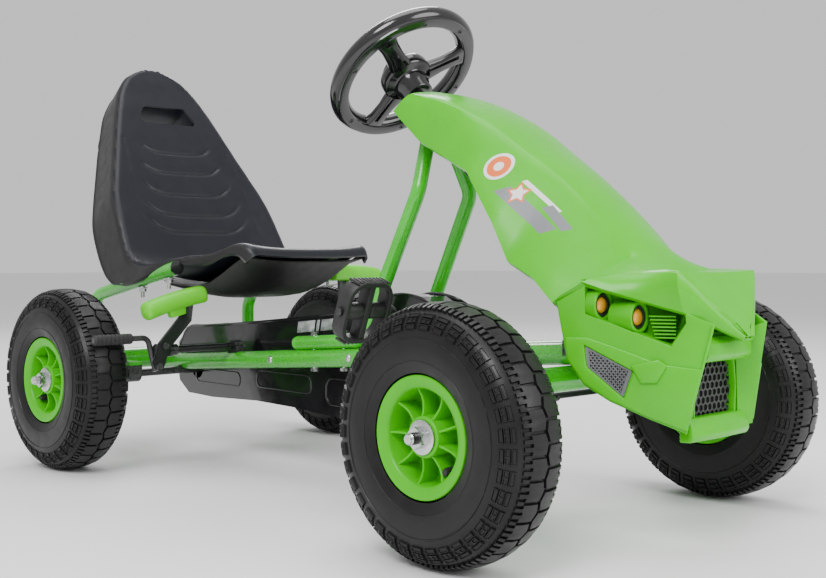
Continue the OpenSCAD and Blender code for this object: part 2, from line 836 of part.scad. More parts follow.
// Outline of a bar of width w along a path of 2-D points, mitred at the corners
function bar_outline(p, w) =
    let (n = len(p) - 1,
        d = [for (i = [0 : n - 1]) unit(p[i + 1] - p[i])],
        off = [for (i = [0 : n])
            let (a = d[max(0, i - 1)], b = d[min(n - 1, i)], m = unit([-a[1] - b[1], a[0] + b[0]]))
            w / 2 / (m * [-a[1], a[0]]) * m])
    concat([for (i = [0 : n]) p[i] + off[i]], [for (i = [n : -1 : 0]) p[i] - off[i]]);

module lever_plate(side) {
    pts = [for (q = lever_points(side)) [side * q[0], q[1]]];
    translate([lever_x, 0, 0]) rotate([90, 0, 90]) linear_extrude(lever_t) polygon(bar_outline(pts, lever_w));
}

// Flat lever with its hub, two bolts and the bent rod that carries the rubber sleeve
module brake_lever(side) {
    foot = lever_points(side)[0];
    color(BLACK) place() difference() {
        union() {
            lever_plate(side);
            translate([-brake_back, 0, brake_h]) side_disc(side, 9.5, hub_span[0], hub_span[1]);
            translate([-brake_back, side > 0 ? hub_span[0] + 8 : -hub_span[1], brake_h - 8])
                cube([11, hub_span[1] - hub_span[0] - 8, 16]);
            for (q = [foot, lever_points(side)[1]])
                rod([lever_x + 1, side * q[0], q[1]], [lever_x + lever_t + 4, side * q[0], q[1]], 10);
            bent_rod(to_side(side, [[-613, foot[0] + 1, foot[1] - 7], shoe, [shoe[0], shoe_end, shoe[2]]]),
                rod_d, 9);
        }
        translate([-brake_back, 0, brake_h]) side_disc(side, 5 + fit, hub_span[0] - 20, shaft_end + 1);
    }
}

// Half section of a grip, from one rounded end over its crown to the other
function grip_section() = [for (t = [-90 : 10 : 90])
    [grip_d / 2 * pow(cos(t), 0.4), grip_len / 2 * sin(t)]];

// Moulded T grip on the stem of a lever
module brake_grip(side) {
    middle = grip_middle(side);
    color(GRIP_GREEN) place() difference() {
        translate([middle[0], side * middle[1], middle[2]]) rotate([-side * grip_droop(side) - 90, 0, 0])
            rotate_extrude() polygon(grip_section());
        lever_plate(side);
    }
}

// Rubber sleeve on the shoe rod, in front of the tyre tread
module brake_sleeve(side) {
    color(RUBBER) place() translate([shoe[0], 0, shoe[2]]) difference() {
        side_disc(side, sleeve_rubber_d / 2, 226, shoe_end);
        side_disc(side, rod_d / 2, 220, shoe_end + 1);
    }
}

// ---------------------------------------------------------------- seat

// Rows from the top of the back, down to the pan and over its front edge.
// Each row: x and z on the centre line, half width, lift of the edge, depth of the skirt.
seat_rows = [
    [-942, 625, 12, 0, 26], [-939, 620, 34, 0, 30], [-930, 604, 56, 0, 36], [-917, 580, 74, 0, 42],
    [-900, 550, 88, 1, 48], [-884, 520, 100, 2, 52], [-860, 474, 117, 5, 54], [-839, 434, 132, 9, 55],
    [-820, 398, 144, 13, 55], [-800, 361, 149, 18, 55], [-782, 326, 152, 22, 52], [-767, 300, 154, 26, 46],
    [-748, 281, 155, 34, 40], [-718, 270, 156, 44, 36], [-680, 266, 157, 52, 32],
    [-640, 268, 155, 56, 30], [-612, 275, 140, 50, 26], [-585, 286, 126, 40, 24],
    [-558, 300, 121, 28, 22], [-535, 312, 116, 18, 18], [-518, 314, 110, 10, 14], [-509, 304, 106, 8, 10]];

// Forward and upward normal of the centre line at row i
function seat_normal(i) =
    let (a = seat_rows[max(0, i - 1)], b = seat_rows[min(len(seat_rows) - 1, i + 1)])
    unit([a[1] - b[1], 0, b[0] - a[0]]);

// Points across one row; the edge is lifted and the last point turns back as a skirt
function seat_row(i) =
    let (r = seat_rows[i], n = seat_normal(i), c = [r[0], 0, r[1]],
        edge = c + r[3] * n,
        back = unit([-0.75, 0, -0.66]))
    concat(
        [edge + r[4] * back + [0, -r[2] - 4, 0], edge + [0, -r[2] - 2, 0]],
        [for (k = [-0.8, -0.5, 0, 0.5, 0.8]) c + pow(abs(k), 3) * r[3] * n + [0, k * r[2], 0]],
        [edge + [0, r[2] + 2, 0], edge + r[4] * back + [0, r[2] + 4, 0]]);

module seat_shell() {
    color(BLACK) place() difference() {
        thick_sheet([for (i = [0 : len(seat_rows) - 1]) seat_row(i)], seat_t);
        along([-898, 0, 543], seat_normal(4)) rotate(180) linear_extrude(80, center = true)
            polygon([[-17, -56], [-17, 56], [17, 40], [17, -40]]);
    }
}

seat_spacer_h = [17, 15];

// Centre of the seat tube at one of its two bolts
module seat_bolt_place(side, i) {
    translate([seat_bolt_x[i], side * seat_tube_y, seat_tube_z(seat_bolt_x[i])]) children();
}

// Bolts up through the seat tubes into the seat, with nuts below, and the collar
// on each bolt that keeps the seat's raised edge off the tube
module seat_bolts() {
    low = seat_tube_d / 2 + 14;
    color(ZINC) place() for (side = [LEFT, RIGHT]) for (i = [0, 1]) seat_bolt_place(side, i) {
        translate([0, 0, -low]) cylinder(h = low + seat_tube_d / 2 + seat_spacer_h[i] + 3, r = 3);
        translate([0, 0, -low]) cylinder(h = 4.5, r = 5.5, $fn = 6);
        translate([0, 0, seat_tube_d / 2 + 1.5]) cylinder(h = seat_spacer_h[i], r = 7);
    }
}

// ---------------------------------------------------------------- body

// Rows along the fairing: crown x z, shoulder x y z, lower edge x y z
hood_rows = [
    [[-246, 512], [-244, 58, 505], [-264, 65, 488]],
    [[-205, 503], [-205, 57, 496], [-216, 67, 447]],
    [[-167, 489], [-167, 55, 482], [-168, 76, 425]],
    [[-119, 465], [-119, 52, 457], [-121, 86, 404]],
    [[-75, 434], [-75, 48, 427], [-71, 97, 342]],
    [[-17, 394], [-17, 43, 386], [-44, 102, 300]],
    [[34, 350], [34, 42, 342], [-6, 106, 282]],
    [[70, 322], [66, 50, 322], [30, 118, 257]],
    [[110, 303], [108, 62, 304], [70, 104, 282]],
    [[150, 293], [149, 73, 287], [118, 82, 264]],
    [[185, 223], [181, 50, 238], [178, 53, 232]]];

module hood_shell() {
    grid = [for (r = hood_rows)
        let (c = [r[0][0], 0, r[0][1]], s = r[1], e = r[2], m = (s + e) / 2 + [0, 3, 0])
        [[e[0], -e[1], e[2]], [m[0], -m[1], m[2]], [s[0], -s[1], s[2]], c,
            s, m, e]];
    color(SHELL_GREEN) place() thick_sheet(grid, shell_t);
}

// Columns of the bumper's side wall, from the rear to the nose: x, y, top, crease, bottom
bumper_cols = [[34, 120, 251, 226, 199], [60, 109, 238, 212, 173], [86, 96, 231, 205, 157],
    [120, 79, 219, 196, 141], [158, 59, 206, 190, 128], [176, 50, 222, 195, 140]];

// Headlight cans: x and z of the can's centre on the recessed wall
can_places = [[80, 98, 254], [115, 82, 242]];

module bumper_side(side) {
    grid = [for (c = bumper_cols)
        [[c[0] - 4, side * (c[1] - 8), c[4]], [c[0] - 1, side * c[1], (c[3] + c[4]) / 2],
            [c[0], side * c[1], c[3]], [c[0], side * (c[1] + 2), c[2]]]];
    thick_sheet(side > 0 ? [for (i = [len(grid) - 1 : -1 : 0]) grid[i]] : grid, shell_t);
}

// Wall set back behind the headlights, with its floor
module light_pocket(side) {
    wall = [[40, 92, 252], [78, 76, 244], [120, 58, 230], [150, 44, 218]];
    grid = [for (w = wall) [[w[0] + 14, side * (w[1] + 24), w[2] - 16], [w[0], side * w[1], w[2] - 16],
        [w[0], side * w[1], w[2] + 24]]];
    thick_sheet(side > 0 ? [for (i = [len(grid) - 1 : -1 : 0]) grid[i]] : grid, shell_t);
}

module bumper_shell() {
    color(SHELL_GREEN) place() {
        for (side = [LEFT, RIGHT]) {
            bumper_side(side);
            light_pocket(side);
            for (c = can_places) can(c, side);
        }
        nose_block();
    }
}

module can(c, side) {
    along([c[0] - 22, side * (c[1] - 22), c[2]], [22, side * 22, -2]) cylinder(h = 30, r = 14);
}

// Bar above the centre grille, the frame round it and the lip below
module nose_block() {
    difference() {
        union() {
            translate([132, -48, 196]) cube([30, 96, 26]);
            translate([132, -48, 124]) cube([16, 96, 76]);
            translate([132, -52, 120]) cube([26, 104, 20]);
        }
        translate([120, -38, 145]) cube([60, 76, 50]);
    }
    translate([-10, -96, 196]) cube([146, 6, 14]);
    translate([-10, 90, 196]) cube([146, 6, 14]);
}

// Amber lens in a ring at the front of each can
module headlights() {
    color(AMBER) place() for (side = [LEFT, RIGHT]) for (c = can_places)
        along([c[0] - 22, side * (c[1] - 22), c[2]], [22, side * 22, -2]) translate([0, 0, 30])
            cylinder(h = 3, r = 9);
}

// Mesh inserts: one behind the nose, one in each side of the bumper
module grille_meshes() {
    color(BLACK) place() {
        translate([138, -38, 145]) cube([3, 76, 50]);
        for (side = [LEFT, RIGHT])
            along([82, side * 98.5, 187], [60, side * 108, 0]) translate([-14, -18, 0]) cube([28, 36, 2]);
    }
}

// Black straps from the front beam up to the fairing, each with an arm out to the bumper
module hood_bracket() {
    foot = beam_h + beam_d / 2 + 0.05;
    color(BLACK) place() for (side = [LEFT, RIGHT]) {
        translate([-6, side * 30 - 4, foot]) cube([12, 8, 368 - foot]);
        translate([-6, side * 30 - 4, 208]) cube([38, 8, 8]);
        translate([20, side > 0 ? 26 : -91, 199]) cube([12, 65, 17]);
    }
}

rail(LEFT);  // left_rail
rail(RIGHT);  // right_rail
rear_cross_tube();
front_beam();
seat_tube(LEFT);  // left_seat_tube
seat_tube(RIGHT);  // right_seat_tube
upright(LEFT);  // left_upright
upright(RIGHT);  // right_upright
steering_head();
head_bushes();
tube_plugs();
frame_bolts();
kingpins();
seat_shell();
seat_bolts();
hood_shell();
bumper_shell();
headlights();
grille_meshes();
hood_bracket();
steering_column();
steering_wheel();
steering_wheel_cap();
knuckle(LEFT);  // left_knuckle
knuckle(RIGHT);  // right_knuckle
tie_rod(LEFT);  // left_tie_rod
tie_rod(RIGHT);  // right_tie_rod
front_wheel_place(LEFT) axle_nut(LEFT);  // front_left_axle_nut
front_wheel_place(RIGHT) axle_nut(RIGHT);  // front_right_axle_nut
front_wheel_place(LEFT) tyre();  // front_left_tyre
front_wheel_place(LEFT) rim();  // front_left_rim
front_wheel_place(LEFT) wheel_bearings();  // front_left_bearings
front_wheel_place(RIGHT) tyre();  // front_right_tyre
front_wheel_place(RIGHT) rim();  // front_right_rim
front_wheel_place(RIGHT) wheel_bearings();  // front_right_bearings
rear_wheel_place(LEFT) tyre();  // rear_left_tyre
rear_wheel_place(LEFT) rim();  // rear_left_rim
rear_wheel_place(LEFT) wheel_bearings();  // rear_left_bearings
rear_wheel_place(RIGHT) tyre();  // rear_right_tyre
rear_wheel_place(RIGHT) rim();  // rear_right_rim
rear_wheel_place(RIGHT) wheel_bearings();  // rear_right_bearings
rear_axle();
rear_axle_nuts();
rear_sprocket();
rear_axle_blocks();
chain();
crank();
chainring();
crank_bearings();
pedal(LEFT);  // left_pedal
pedal(RIGHT);  // right_pedal
chain_case_upper();
chain_case_lower();
brake_pivots();
brake_lever(LEFT);  // left_brake_lever
brake_lever(RIGHT);  // right_brake_lever
brake_grip(LEFT);  // left_brake_grip
brake_grip(RIGHT);  // right_brake_grip
brake_sleeve(LEFT);  // left_brake_sleeve
brake_sleeve(RIGHT);  // right_brake_sleeve
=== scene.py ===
"""Visual model of a child's pedal go kart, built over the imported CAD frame.

Sizes are in millimetres. kart() turns a place measured from the middle of the front
axle into the scene's metres: x forward, y to the driver's left, z up from the ground.
"""
import math
import random

import bmesh
import bpy
from mathutils import Matrix, Vector
from mathutils.geometry import delaunay_2d_cdt


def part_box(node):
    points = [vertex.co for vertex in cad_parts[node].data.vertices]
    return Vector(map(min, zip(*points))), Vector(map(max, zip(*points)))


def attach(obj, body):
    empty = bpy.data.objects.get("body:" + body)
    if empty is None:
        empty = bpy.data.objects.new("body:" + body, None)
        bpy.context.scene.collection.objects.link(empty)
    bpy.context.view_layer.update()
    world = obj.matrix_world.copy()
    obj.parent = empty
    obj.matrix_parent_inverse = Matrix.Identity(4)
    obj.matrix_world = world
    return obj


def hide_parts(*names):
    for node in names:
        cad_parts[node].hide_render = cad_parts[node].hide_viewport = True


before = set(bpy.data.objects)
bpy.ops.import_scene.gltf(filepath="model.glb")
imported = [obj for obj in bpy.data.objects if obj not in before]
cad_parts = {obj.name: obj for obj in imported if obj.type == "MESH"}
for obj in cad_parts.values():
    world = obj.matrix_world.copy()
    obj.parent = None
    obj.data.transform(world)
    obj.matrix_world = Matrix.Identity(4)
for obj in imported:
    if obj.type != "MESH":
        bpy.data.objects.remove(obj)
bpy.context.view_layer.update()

MM = 0.001
LEFT, RIGHT = 1, -1
SIDES = {"left": LEFT, "right": RIGHT}
X, Y, Z = Vector((1, 0, 0)), Vector((0, 1, 0)), Vector((0, 0, 1))


def middle(node):
    """Centre of a CAD node's box, in metres."""
    lo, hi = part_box(node)
    return (lo + hi) / 2


FRONT_AXLE_X = middle("front_right_tyre").x / MM
WHEELS = {
    "front_left": (middle("front_left_tyre"), LEFT, "front_left_wheel", "left_knuckle"),
    "front_right": (middle("front_right_tyre"), RIGHT, "front_right_wheel", "right_knuckle"),
    "rear_left": (middle("rear_left_tyre"), LEFT, "rear_axle", "rear_axle"),
    "rear_right": (middle("rear_right_tyre"), RIGHT, "rear_right_wheel", "rear_axle"),
}


def kart(x, y, z):
    return Vector((x + FRONT_AXLE_X, y, z)) * MM


# ------------------------------------------------------------------ materials


def new_material(name):
    mat = bpy.data.materials.new(name)
    mat.use_nodes = True
    return mat, mat.node_tree, mat.node_tree.nodes["Principled BSDF"]


def noise(tree, size_mm, detail=4.0):
    """Noise in the object's own space, whose blobs are about size_mm across."""
    place = tree.nodes.new("ShaderNodeTexCoord")
    tex = tree.nodes.new("ShaderNodeTexNoise")
    tex.inputs["Scale"].default_value = 1 / (size_mm * MM)
    tex.inputs["Detail"].default_value = detail
    tree.links.new(place.outputs["Object"], tex.inputs["Vector"])
    return tex.outputs["Fac"]


def spread(tree, fac, low, high):
    """Maps the middle of a noise onto low to high."""
    node = tree.nodes.new("ShaderNodeMapRange")
    node.inputs["From Min"].default_value = 0.3
    node.inputs["From Max"].default_value = 0.7
    node.inputs["To Min"].default_value = low
    node.inputs["To Max"].default_value = high
    tree.links.new(fac, node.inputs["Value"])
    return node.outputs["Result"]


def tint(tree, fac, low, high):
    """Runs from one colour to the other across the middle of a noise."""
    ramp = tree.nodes.new("ShaderNodeValToRGB")
    ramp.color_ramp.elements[0].position = 0.3
    ramp.color_ramp.elements[0].color = (*low, 1)
    ramp.color_ramp.elements[1].position = 0.7
    ramp.color_ramp.elements[1].color = (*high, 1)
    tree.links.new(fac, ramp.inputs["Fac"])
    return ramp.outputs["Color"]


def mix(tree, fac, under, over):
    node = tree.nodes.new("ShaderNodeMix")
    node.data_type = "RGBA"
    tree.links.new(fac, node.inputs["Factor"])
    for socket, value in (("A", under), ("B", over)):
        target = [s for s in node.inputs if s.name == socket and s.type == "RGBA"][0]
        if isinstance(value, tuple):
            target.default_value = (*value, 1)
        else:
            tree.links.new(value, target)
    return [s for s in node.outputs if s.type == "RGBA"][0]


def worn_edges(tree, start=0.53, end=0.60):
    """1 on the sharpest outer edges, 0 elsewhere, broken up by noise."""
    geo = tree.nodes.new("ShaderNodeNewGeometry")
    edge = tree.nodes.new("ShaderNodeMapRange")
    edge.inputs["From Min"].default_value = start
    edge.inputs["From Max"].default_value = end
    tree.links.new(geo.outputs["Pointiness"], edge.inputs["Value"])
    both = tree.nodes.new("ShaderNodeMath")
    both.operation = "MULTIPLY"
    tree.links.new(edge.outputs["Result"], both.inputs[0])
    tree.links.new(spread(tree, noise(tree, 3), 0.0, 1.0), both.inputs[1])
    return both.outputs["Value"]


def surface(name, low, high, rough, grain, depth, patch=45, wear=None, **fixed):
    """Material with colour and roughness that drift, and a moulded or cast grain.

    rough is the lowest and highest roughness, grain and depth the size and height of
    the bumps in millimetres, wear the colour of rubbed edges, and fixed the shader's
    own values, such as Metallic=1.0.
    """
    mat, tree, shader = new_material(name)
    colour = tint(tree, noise(tree, patch), low, high)
    if wear:
        colour = mix(tree, worn_edges(tree), colour, wear)
    tree.links.new(colour, shader.inputs["Base Color"])
    tree.links.new(spread(tree, noise(tree, patch / 3), *rough), shader.inputs["Roughness"])
    bump = tree.nodes.new("ShaderNodeBump")
    bump.inputs["Distance"].default_value = depth * MM
    tree.links.new(noise(tree, grain, 2.0), bump.inputs["Height"])
    tree.links.new(bump.outputs["Normal"], shader.inputs["Normal"])
    for socket, value in fixed.items():
        shader.inputs[socket.replace("_", " ")].default_value = value
    return mat


FRAME_PAINT = surface("frame_paint", (0.022, 0.50, 0.003), (0.032, 0.58, 0.005), (0.24, 0.36),
                      2.2, 0.05, wear=(0.05, 0.30, 0.03), Coat_Weight=0.5, Coat_Roughness=0.12)


def shell_plastic(name):
    """Green moulded plastic of the fairing and the bumper."""
    return surface(name, (0.055, 0.46, 0.0), (0.064, 0.50, 0.0), (0.26, 0.34), 1.1, 0.012,
                   Coat_Weight=0.12, Coat_Roughness=0.15, Specular_IOR_Level=0.25)


SHELL = shell_plastic("shell_plastic")
RIM = surface("rim_plastic", (0.050, 0.44, 0.0), (0.060, 0.49, 0.0), (0.28, 0.40), 0.9, 0.02,
              Specular_IOR_Level=0.25)
GRIP = surface("grip_plastic", (0.095, 0.56, 0.0), (0.115, 0.62, 0.0), (0.36, 0.50), 1.4, 0.05)
GLOSS_BLACK = surface("black_plastic", (0.006, 0.006, 0.007), (0.010, 0.010, 0.011), (0.10, 0.20),
                      1.6, 0.012, Coat_Weight=0.4, Coat_Roughness=0.06)
SEAT = surface("seat_plastic", (0.0035, 0.0045, 0.0085), (0.0055, 0.0068, 0.0120), (0.34, 0.44),
               0.8, 0.035, wear=(0.018, 0.019, 0.022), Specular_IOR_Level=0.35)
# Copy of the seat plastic with painted shade, browner and duller, for the faces that look sideways and for
# the belly
SEAT_PAINTED_SHADE = surface("seat_painted_shade", (0.0050, 0.0045, 0.0050), (0.0080, 0.0072, 0.0076), (0.42, 0.55),
                    0.8, 0.04, wear=(0.04, 0.038, 0.036))
MESH_BLACK = surface("mesh_plastic", (0.010, 0.010, 0.010), (0.016, 0.016, 0.016), (0.42, 0.58),
                     0.9, 0.05, wear=(0.045, 0.045, 0.045))
GREY_MESH = surface("grey_mesh", (0.10, 0.105, 0.11), (0.16, 0.165, 0.17), (0.40, 0.55), 0.9, 0.05)
METAL_BLACK = surface("black_metal", (0.009, 0.009, 0.010), (0.015, 0.015, 0.016), (0.26, 0.40),
                      1.4, 0.03, wear=(0.10, 0.10, 0.10), Metallic=0.2)
ZINC = surface("zinc", (0.50, 0.51, 0.53), (0.70, 0.70, 0.69), (0.18, 0.34), 2.5, 0.02, patch=8,
               Metallic=1.0)
SLEEVE = surface("sleeve_rubber", (0.012, 0.012, 0.012), (0.020, 0.020, 0.020), (0.62, 0.78),
                 1.0, 0.06)
VALVE = surface("valve_rubber", (0.014, 0.014, 0.014), (0.024, 0.024, 0.024), (0.5, 0.66), 0.9, 0.04)
LENS = surface("lens_amber", (0.80, 0.30, 0.015), (0.92, 0.42, 0.03), (0.08, 0.16), 3.0, 0.15,
               patch=6, Coat_Weight=0.6, Coat_Roughness=0.04)
SILVER = surface("silver_strip", (0.42, 0.43, 0.44), (0.55, 0.56, 0.57), (0.22, 0.34), 1.2, 0.01,
                 Metallic=0.6)


def tyre_material():
    """Charcoal rubber, dusty in the tread's grooves."""
    mat, tree, shader = new_material("tyre_rubber")
    base = tint(tree, noise(tree, 30), (0.0045, 0.0045, 0.0048), (0.0085, 0.0082, 0.0082))
    geo = tree.nodes.new("ShaderNodeNewGeometry")
    hollow = tree.nodes.new("ShaderNodeMapRange")
    for key, value in (("From Min", 0.50), ("From Max", 0.44), ("To Max", 0.6)):
        hollow.inputs[key].default_value = value
    tree.links.new(geo.outputs["Pointiness"], hollow.inputs["Value"])
    dusty = mix(tree, hollow.outputs["Result"], base, (0.014, 0.0125, 0.011))
    rubbed = mix(tree, worn_edges(tree, 0.52, 0.60), dusty, (0.022, 0.0215, 0.021))
    tree.links.new(rubbed, shader.inputs["Base Color"])
    tree.links.new(spread(tree, noise(tree, 14), 0.30, 0.46), shader.inputs["Roughness"])
    shader.inputs["Specular IOR Level"].default_value = 0.28
    bump = tree.nodes.new("ShaderNodeBump")
    bump.inputs["Distance"].default_value = 0.07 * MM
    tree.links.new(noise(tree, 1.2, 3.0), bump.inputs["Height"])
    tree.links.new(bump.outputs["Normal"], shader.inputs["Normal"])
    return mat


TYRE = tyre_material()

# ------------------------------------------------------------------ mesh tools


def frame_along(origin, axis, up=None):
    """Matrix whose local Z lies along axis, and local X as near to up as it can."""
    z = Vector(axis).normalized()
    up = Vector(up) if up is not None else (X if abs(z.x) < 0.9 else Y)
    x = (up - up.dot(z) * z).normalized()
    y = z.cross(x)
    return Matrix.Translation(origin) @ Matrix((x, y, z)).transposed().to_4x4()


class Shape:
    """Points and faces of one piece, in millimetres until it is placed."""

    def __init__(self):
        self.points, self.faces = [], []

    def add(self, points, faces, place=None):
        first = len(self.points)
        self.points += [place @ Vector(p) if place else Vector(p) for p in points]
        self.faces += [[first + i for i in f] for f in faces]
        return self

    def grid(self, rows, close_rows=False, close_cols=False, place=None, caps=False):
        """Quads between rows of points. caps closes the first and last row."""
        n, m = len(rows), len(rows[0])
        faces = [[i * m + j, i * m + (j + 1) % m, (i + 1) % n * m + (j + 1) % m, (i + 1) % n * m + j]
                 for i in range(n if close_rows else n - 1) for j in range(m if close_cols else m - 1)]
        if caps:
            faces += [list(range(m))[::-1], [(n - 1) * m + j for j in range(m)]]
        return self.add([p for row in rows for p in row], faces, place)

    def lathe(self, profile, place=None, steps=64, closed=False):
        """Turns (radius, height) points about local Z. An open profile is capped."""
        rows = [[(r * math.cos(a), r * math.sin(a), h) for a in
                 [2 * math.pi * k / steps for k in range(steps)]] for r, h in profile]
        return self.grid(rows, close_rows=closed, close_cols=True, place=place, caps=not closed)

    def prism(self, outline, low, high, place=None):
        """Closed prism of a flat outline, between two heights on local Z."""
        rows = [[(x, y, low) for x, y in outline], [(x, y, high) for x, y in outline]]
        return self.grid(rows, close_cols=True, place=place, caps=True)

    def tube(self, path, radius, steps=20, up=None):
        """Round bar along a list of points, with flat ends."""
        rows, n = [], len(path)
        side = None
        for i, p in enumerate(path):
            along = (path[min(n - 1, i + 1)] - path[max(0, i - 1)]).normalized()
            if side is None:
                side = Vector(up) if up else (Z if abs(along.z) < 0.9 else X)
            side = (side - side.dot(along) * along).normalized()
            other = along.cross(side)
            r = radius[i] if isinstance(radius, list) else radius
            rows.append([p + r * (math.cos(a) * side + math.sin(a) * other)
                         for a in [2 * math.pi * k / steps for k in range(steps)]])
        return self.grid(rows, close_cols=True, caps=True)

    def in_metres(self):
        """Turns millimetres into metres, for a piece that is placed as an object."""
        self.points = [p * MM for p in self.points]
        return self


def rounded_path(corners, radius, steps=8):
    """Straight runs between corners, joined by arcs of the given radius."""
    out = [corners[0]]
    for a, b, c in zip(corners, corners[1:], corners[2:]):
        u, v = (a - b).normalized(), (c - b).normalized()
        half = math.acos(max(-1, min(1, u.dot(v)))) / 2
        back = radius / math.tan(half)
        start, end = b + u * back, b + v * back
        centre = b + (u + v).normalized() * radius / math.sin(half)
        for k in range(steps + 1):
            t = k / steps
            p = start.lerp(end, t) - centre
            out.append(centre + p.normalized() * radius)
    return out + [corners[-1]]


def spline(points, per_span):
    """Catmull-Rom curve through points, ends included."""
    pts = [Vector(p) for p in points]
    pts = [2 * pts[0] - pts[1]] + pts + [2 * pts[-1] - pts[-2]]
    out = []
    for i in range(1, len(pts) - 2):
        p0, p1, p2, p3 = pts[i - 1:i + 3]
        for k in range(per_span):
            t = k / per_span
            out.append(0.5 * (2 * p1 + (p2 - p0) * t + (2 * p0 - 5 * p1 + 4 * p2 - p3) * t * t
                              + (3 * p1 - p0 - 3 * p2 + p3) * t ** 3))
    return out + [pts[-2]]


def straight(points, per_span):
    """Points along straight spans, as many as spline gives."""
    line = [a.lerp(b, k / per_span) for a, b in zip(points, points[1:]) for k in range(per_span)]
    return line + [points[-1]]


def distances(points):
    """How far along the line each of its points is."""
    far = [0.0]
    for a, b in zip(points, points[1:]):
        far.append(far[-1] + (b - a).length)
    return far


def stations(far, count):
    """Span, and share of that span, of count places at equal distances."""
    out, j = [], 0
    for k in range(count):
        d = far[-1] * k / (count - 1)
        while j < len(far) - 2 and far[j + 1] < d:
            j += 1
        step = far[j + 1] - far[j]
        out.append((j, (d - far[j]) / step if step else 0))
    return out


def evenly(points, count):
    """The same line drawn with count points at equal distances."""
    return [points[j].lerp(points[j + 1], t) for j, t in stations(distances(points), count)]


def rings(*pairs):
    """Rows for a grid, from pairs of a flat outline and its height."""
    return [[(x, y, h) for x, y in loop] for loop, h in pairs]


def rounded_rect(half_x, half_y, r, steps=6):
    """Outline of a rectangle with round corners, anticlockwise."""
    out = []
    for cx, cy, start in ((1, 1, 0), (-1, 1, 90), (-1, -1, 180), (1, -1, 270)):
        for k in range(steps + 1):
            a = math.radians(start + 90 * k / steps)
            out.append((cx * (half_x - r) + r * math.cos(a), cy * (half_y - r) + r * math.sin(a)))
    return out


def apply_modifiers(obj):
    graph = bpy.context.evaluated_depsgraph_get()
    mesh = bpy.data.meshes.new_from_object(obj.evaluated_get(graph))
    obj.modifiers.clear()
    old, obj.data = obj.data, mesh
    bpy.data.meshes.remove(old)


def make(name, shape, material, sharp=35, bevel=0.0, segments=3, solid=0.0, cut=None,
         even=True, shade=60):
    """Object from a shape whose points are scene metres, with its modifiers applied.

    Corners above sharp degrees get the bevel, and stay sharp where there is none. shade
    is the limit for a bevelled piece. solid is the thickness of a wall, in millimetres,
    along the normals above zero and against them below. cut is a shape to take away.
    """
    mesh = bpy.data.meshes.new(name)
    mesh.from_pydata([tuple(p) for p in shape.points], [], shape.faces)
    work = bmesh.new()
    work.from_mesh(mesh)
    bmesh.ops.remove_doubles(work, verts=work.verts, dist=1e-6)
    if not solid:
        bmesh.ops.recalc_face_normals(work, faces=work.faces)
    work.to_mesh(mesh)
    work.free()
    obj = bpy.data.objects.new(name, mesh)
    bpy.context.collection.objects.link(obj)
    if solid:
        wall = obj.modifiers.new("wall", "SOLIDIFY")
        wall.thickness = abs(solid) * MM
        wall.offset = math.copysign(1, solid)
        wall.use_even_offset = even
    if cut:
        tool = make(name + "_cutter", cut, material)
        hole = obj.modifiers.new("hole", "BOOLEAN")
        hole.object = tool
        hole.operation = "DIFFERENCE"
        hole.solver = "EXACT"
    if bevel:
        edge = obj.modifiers.new("edge", "BEVEL")
        edge.width = bevel * MM
        edge.segments = segments
        edge.limit_method = "ANGLE"
        edge.angle_limit = math.radians(sharp)
        edge.use_clamp_overlap = True
    if obj.modifiers:
        apply_modifiers(obj)
    if cut:
        spare = tool.data
        bpy.data.objects.remove(tool)
        bpy.data.meshes.remove(spare)
    obj.data.shade_smooth()
    obj.data.set_sharp_from_angle(angle=math.radians(shade if bevel else sharp))
    obj.data.materials.clear()
    obj.data.materials.append(material)
    return obj


def to_scene(shape):
    """Kart millimetres to scene metres."""
    shape.points = [kart(*p) for p in shape.points]
    return shape


def piece(name, shape, material, body, slot, replaces=(), **shaping):
    """Makes a piece and lets it ride on a body. slot is not used."""
    obj = make(name, to_scene(shape), material, **shaping)
    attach(obj, body)
    if replaces:
        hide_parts(*replaces)
    return obj


def shell_piece(name, shape, replaces=(), **shaping):
    """Green moulded piece of the fairing or bumper."""
    return piece(name, shape, SHELL, "frame", "shell_plastic", replaces, **shaping)


# ------------------------------------------------------------------ wheels

TYRE_R = (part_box("front_right_tyre")[1].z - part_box("front_right_tyre")[0].z) / 2 / MM
TYRE_HALF = 42.0
TYRE_MID_R = 88.0
BEAD_R = 60.3
PITCHES = 37
GROOVE = 2.7


def tyre_profile():
    """Half section of the tyre from the crown to the bead, as (half width, radius)."""
    rise, n, out = TYRE_R - TYRE_MID_R, 2.6, []
    for k in range(400):
        a = math.radians(90 - k * 0.4)
        c, s = math.cos(a), math.sin(a)
        r = TYRE_MID_R + math.copysign(rise * abs(s) ** (2 / n), s)
        if r < BEAD_R:
            break
        out.append(Vector((TYRE_HALF * abs(c) ** (2 / n), r, 0)))
    return out + [Vector((out[-1].x - 1, BEAD_R, 0))]


# Distance from the crown along the section, where the tread's edges are
CENTRE_GAP, BLOCK_END, TEETH_END, RIB_START, RIB_END = 1.6, 19.5, 27.5, 34.0, 53.5
BAND_STEP, BAND_WIDE = 6.5, 5.5      # three outlined bars side by side on the shoulder
BAND_LINE = 1.1                      # width of a bar's outline
RING_LINES, RING_HALF = (61.0, 84.0), 0.6
# Shares of a pitch around the tyre, where the edges across the tread are
SLIT = 0.07                          # half of the gap between two centre blocks
TOOTH = (0.24, 0.80)                 # of a third of a pitch
BAR, BAR_INSIDE, DOT = (0.14, 0.86), (0.19, 0.81), (0.45, 0.55)


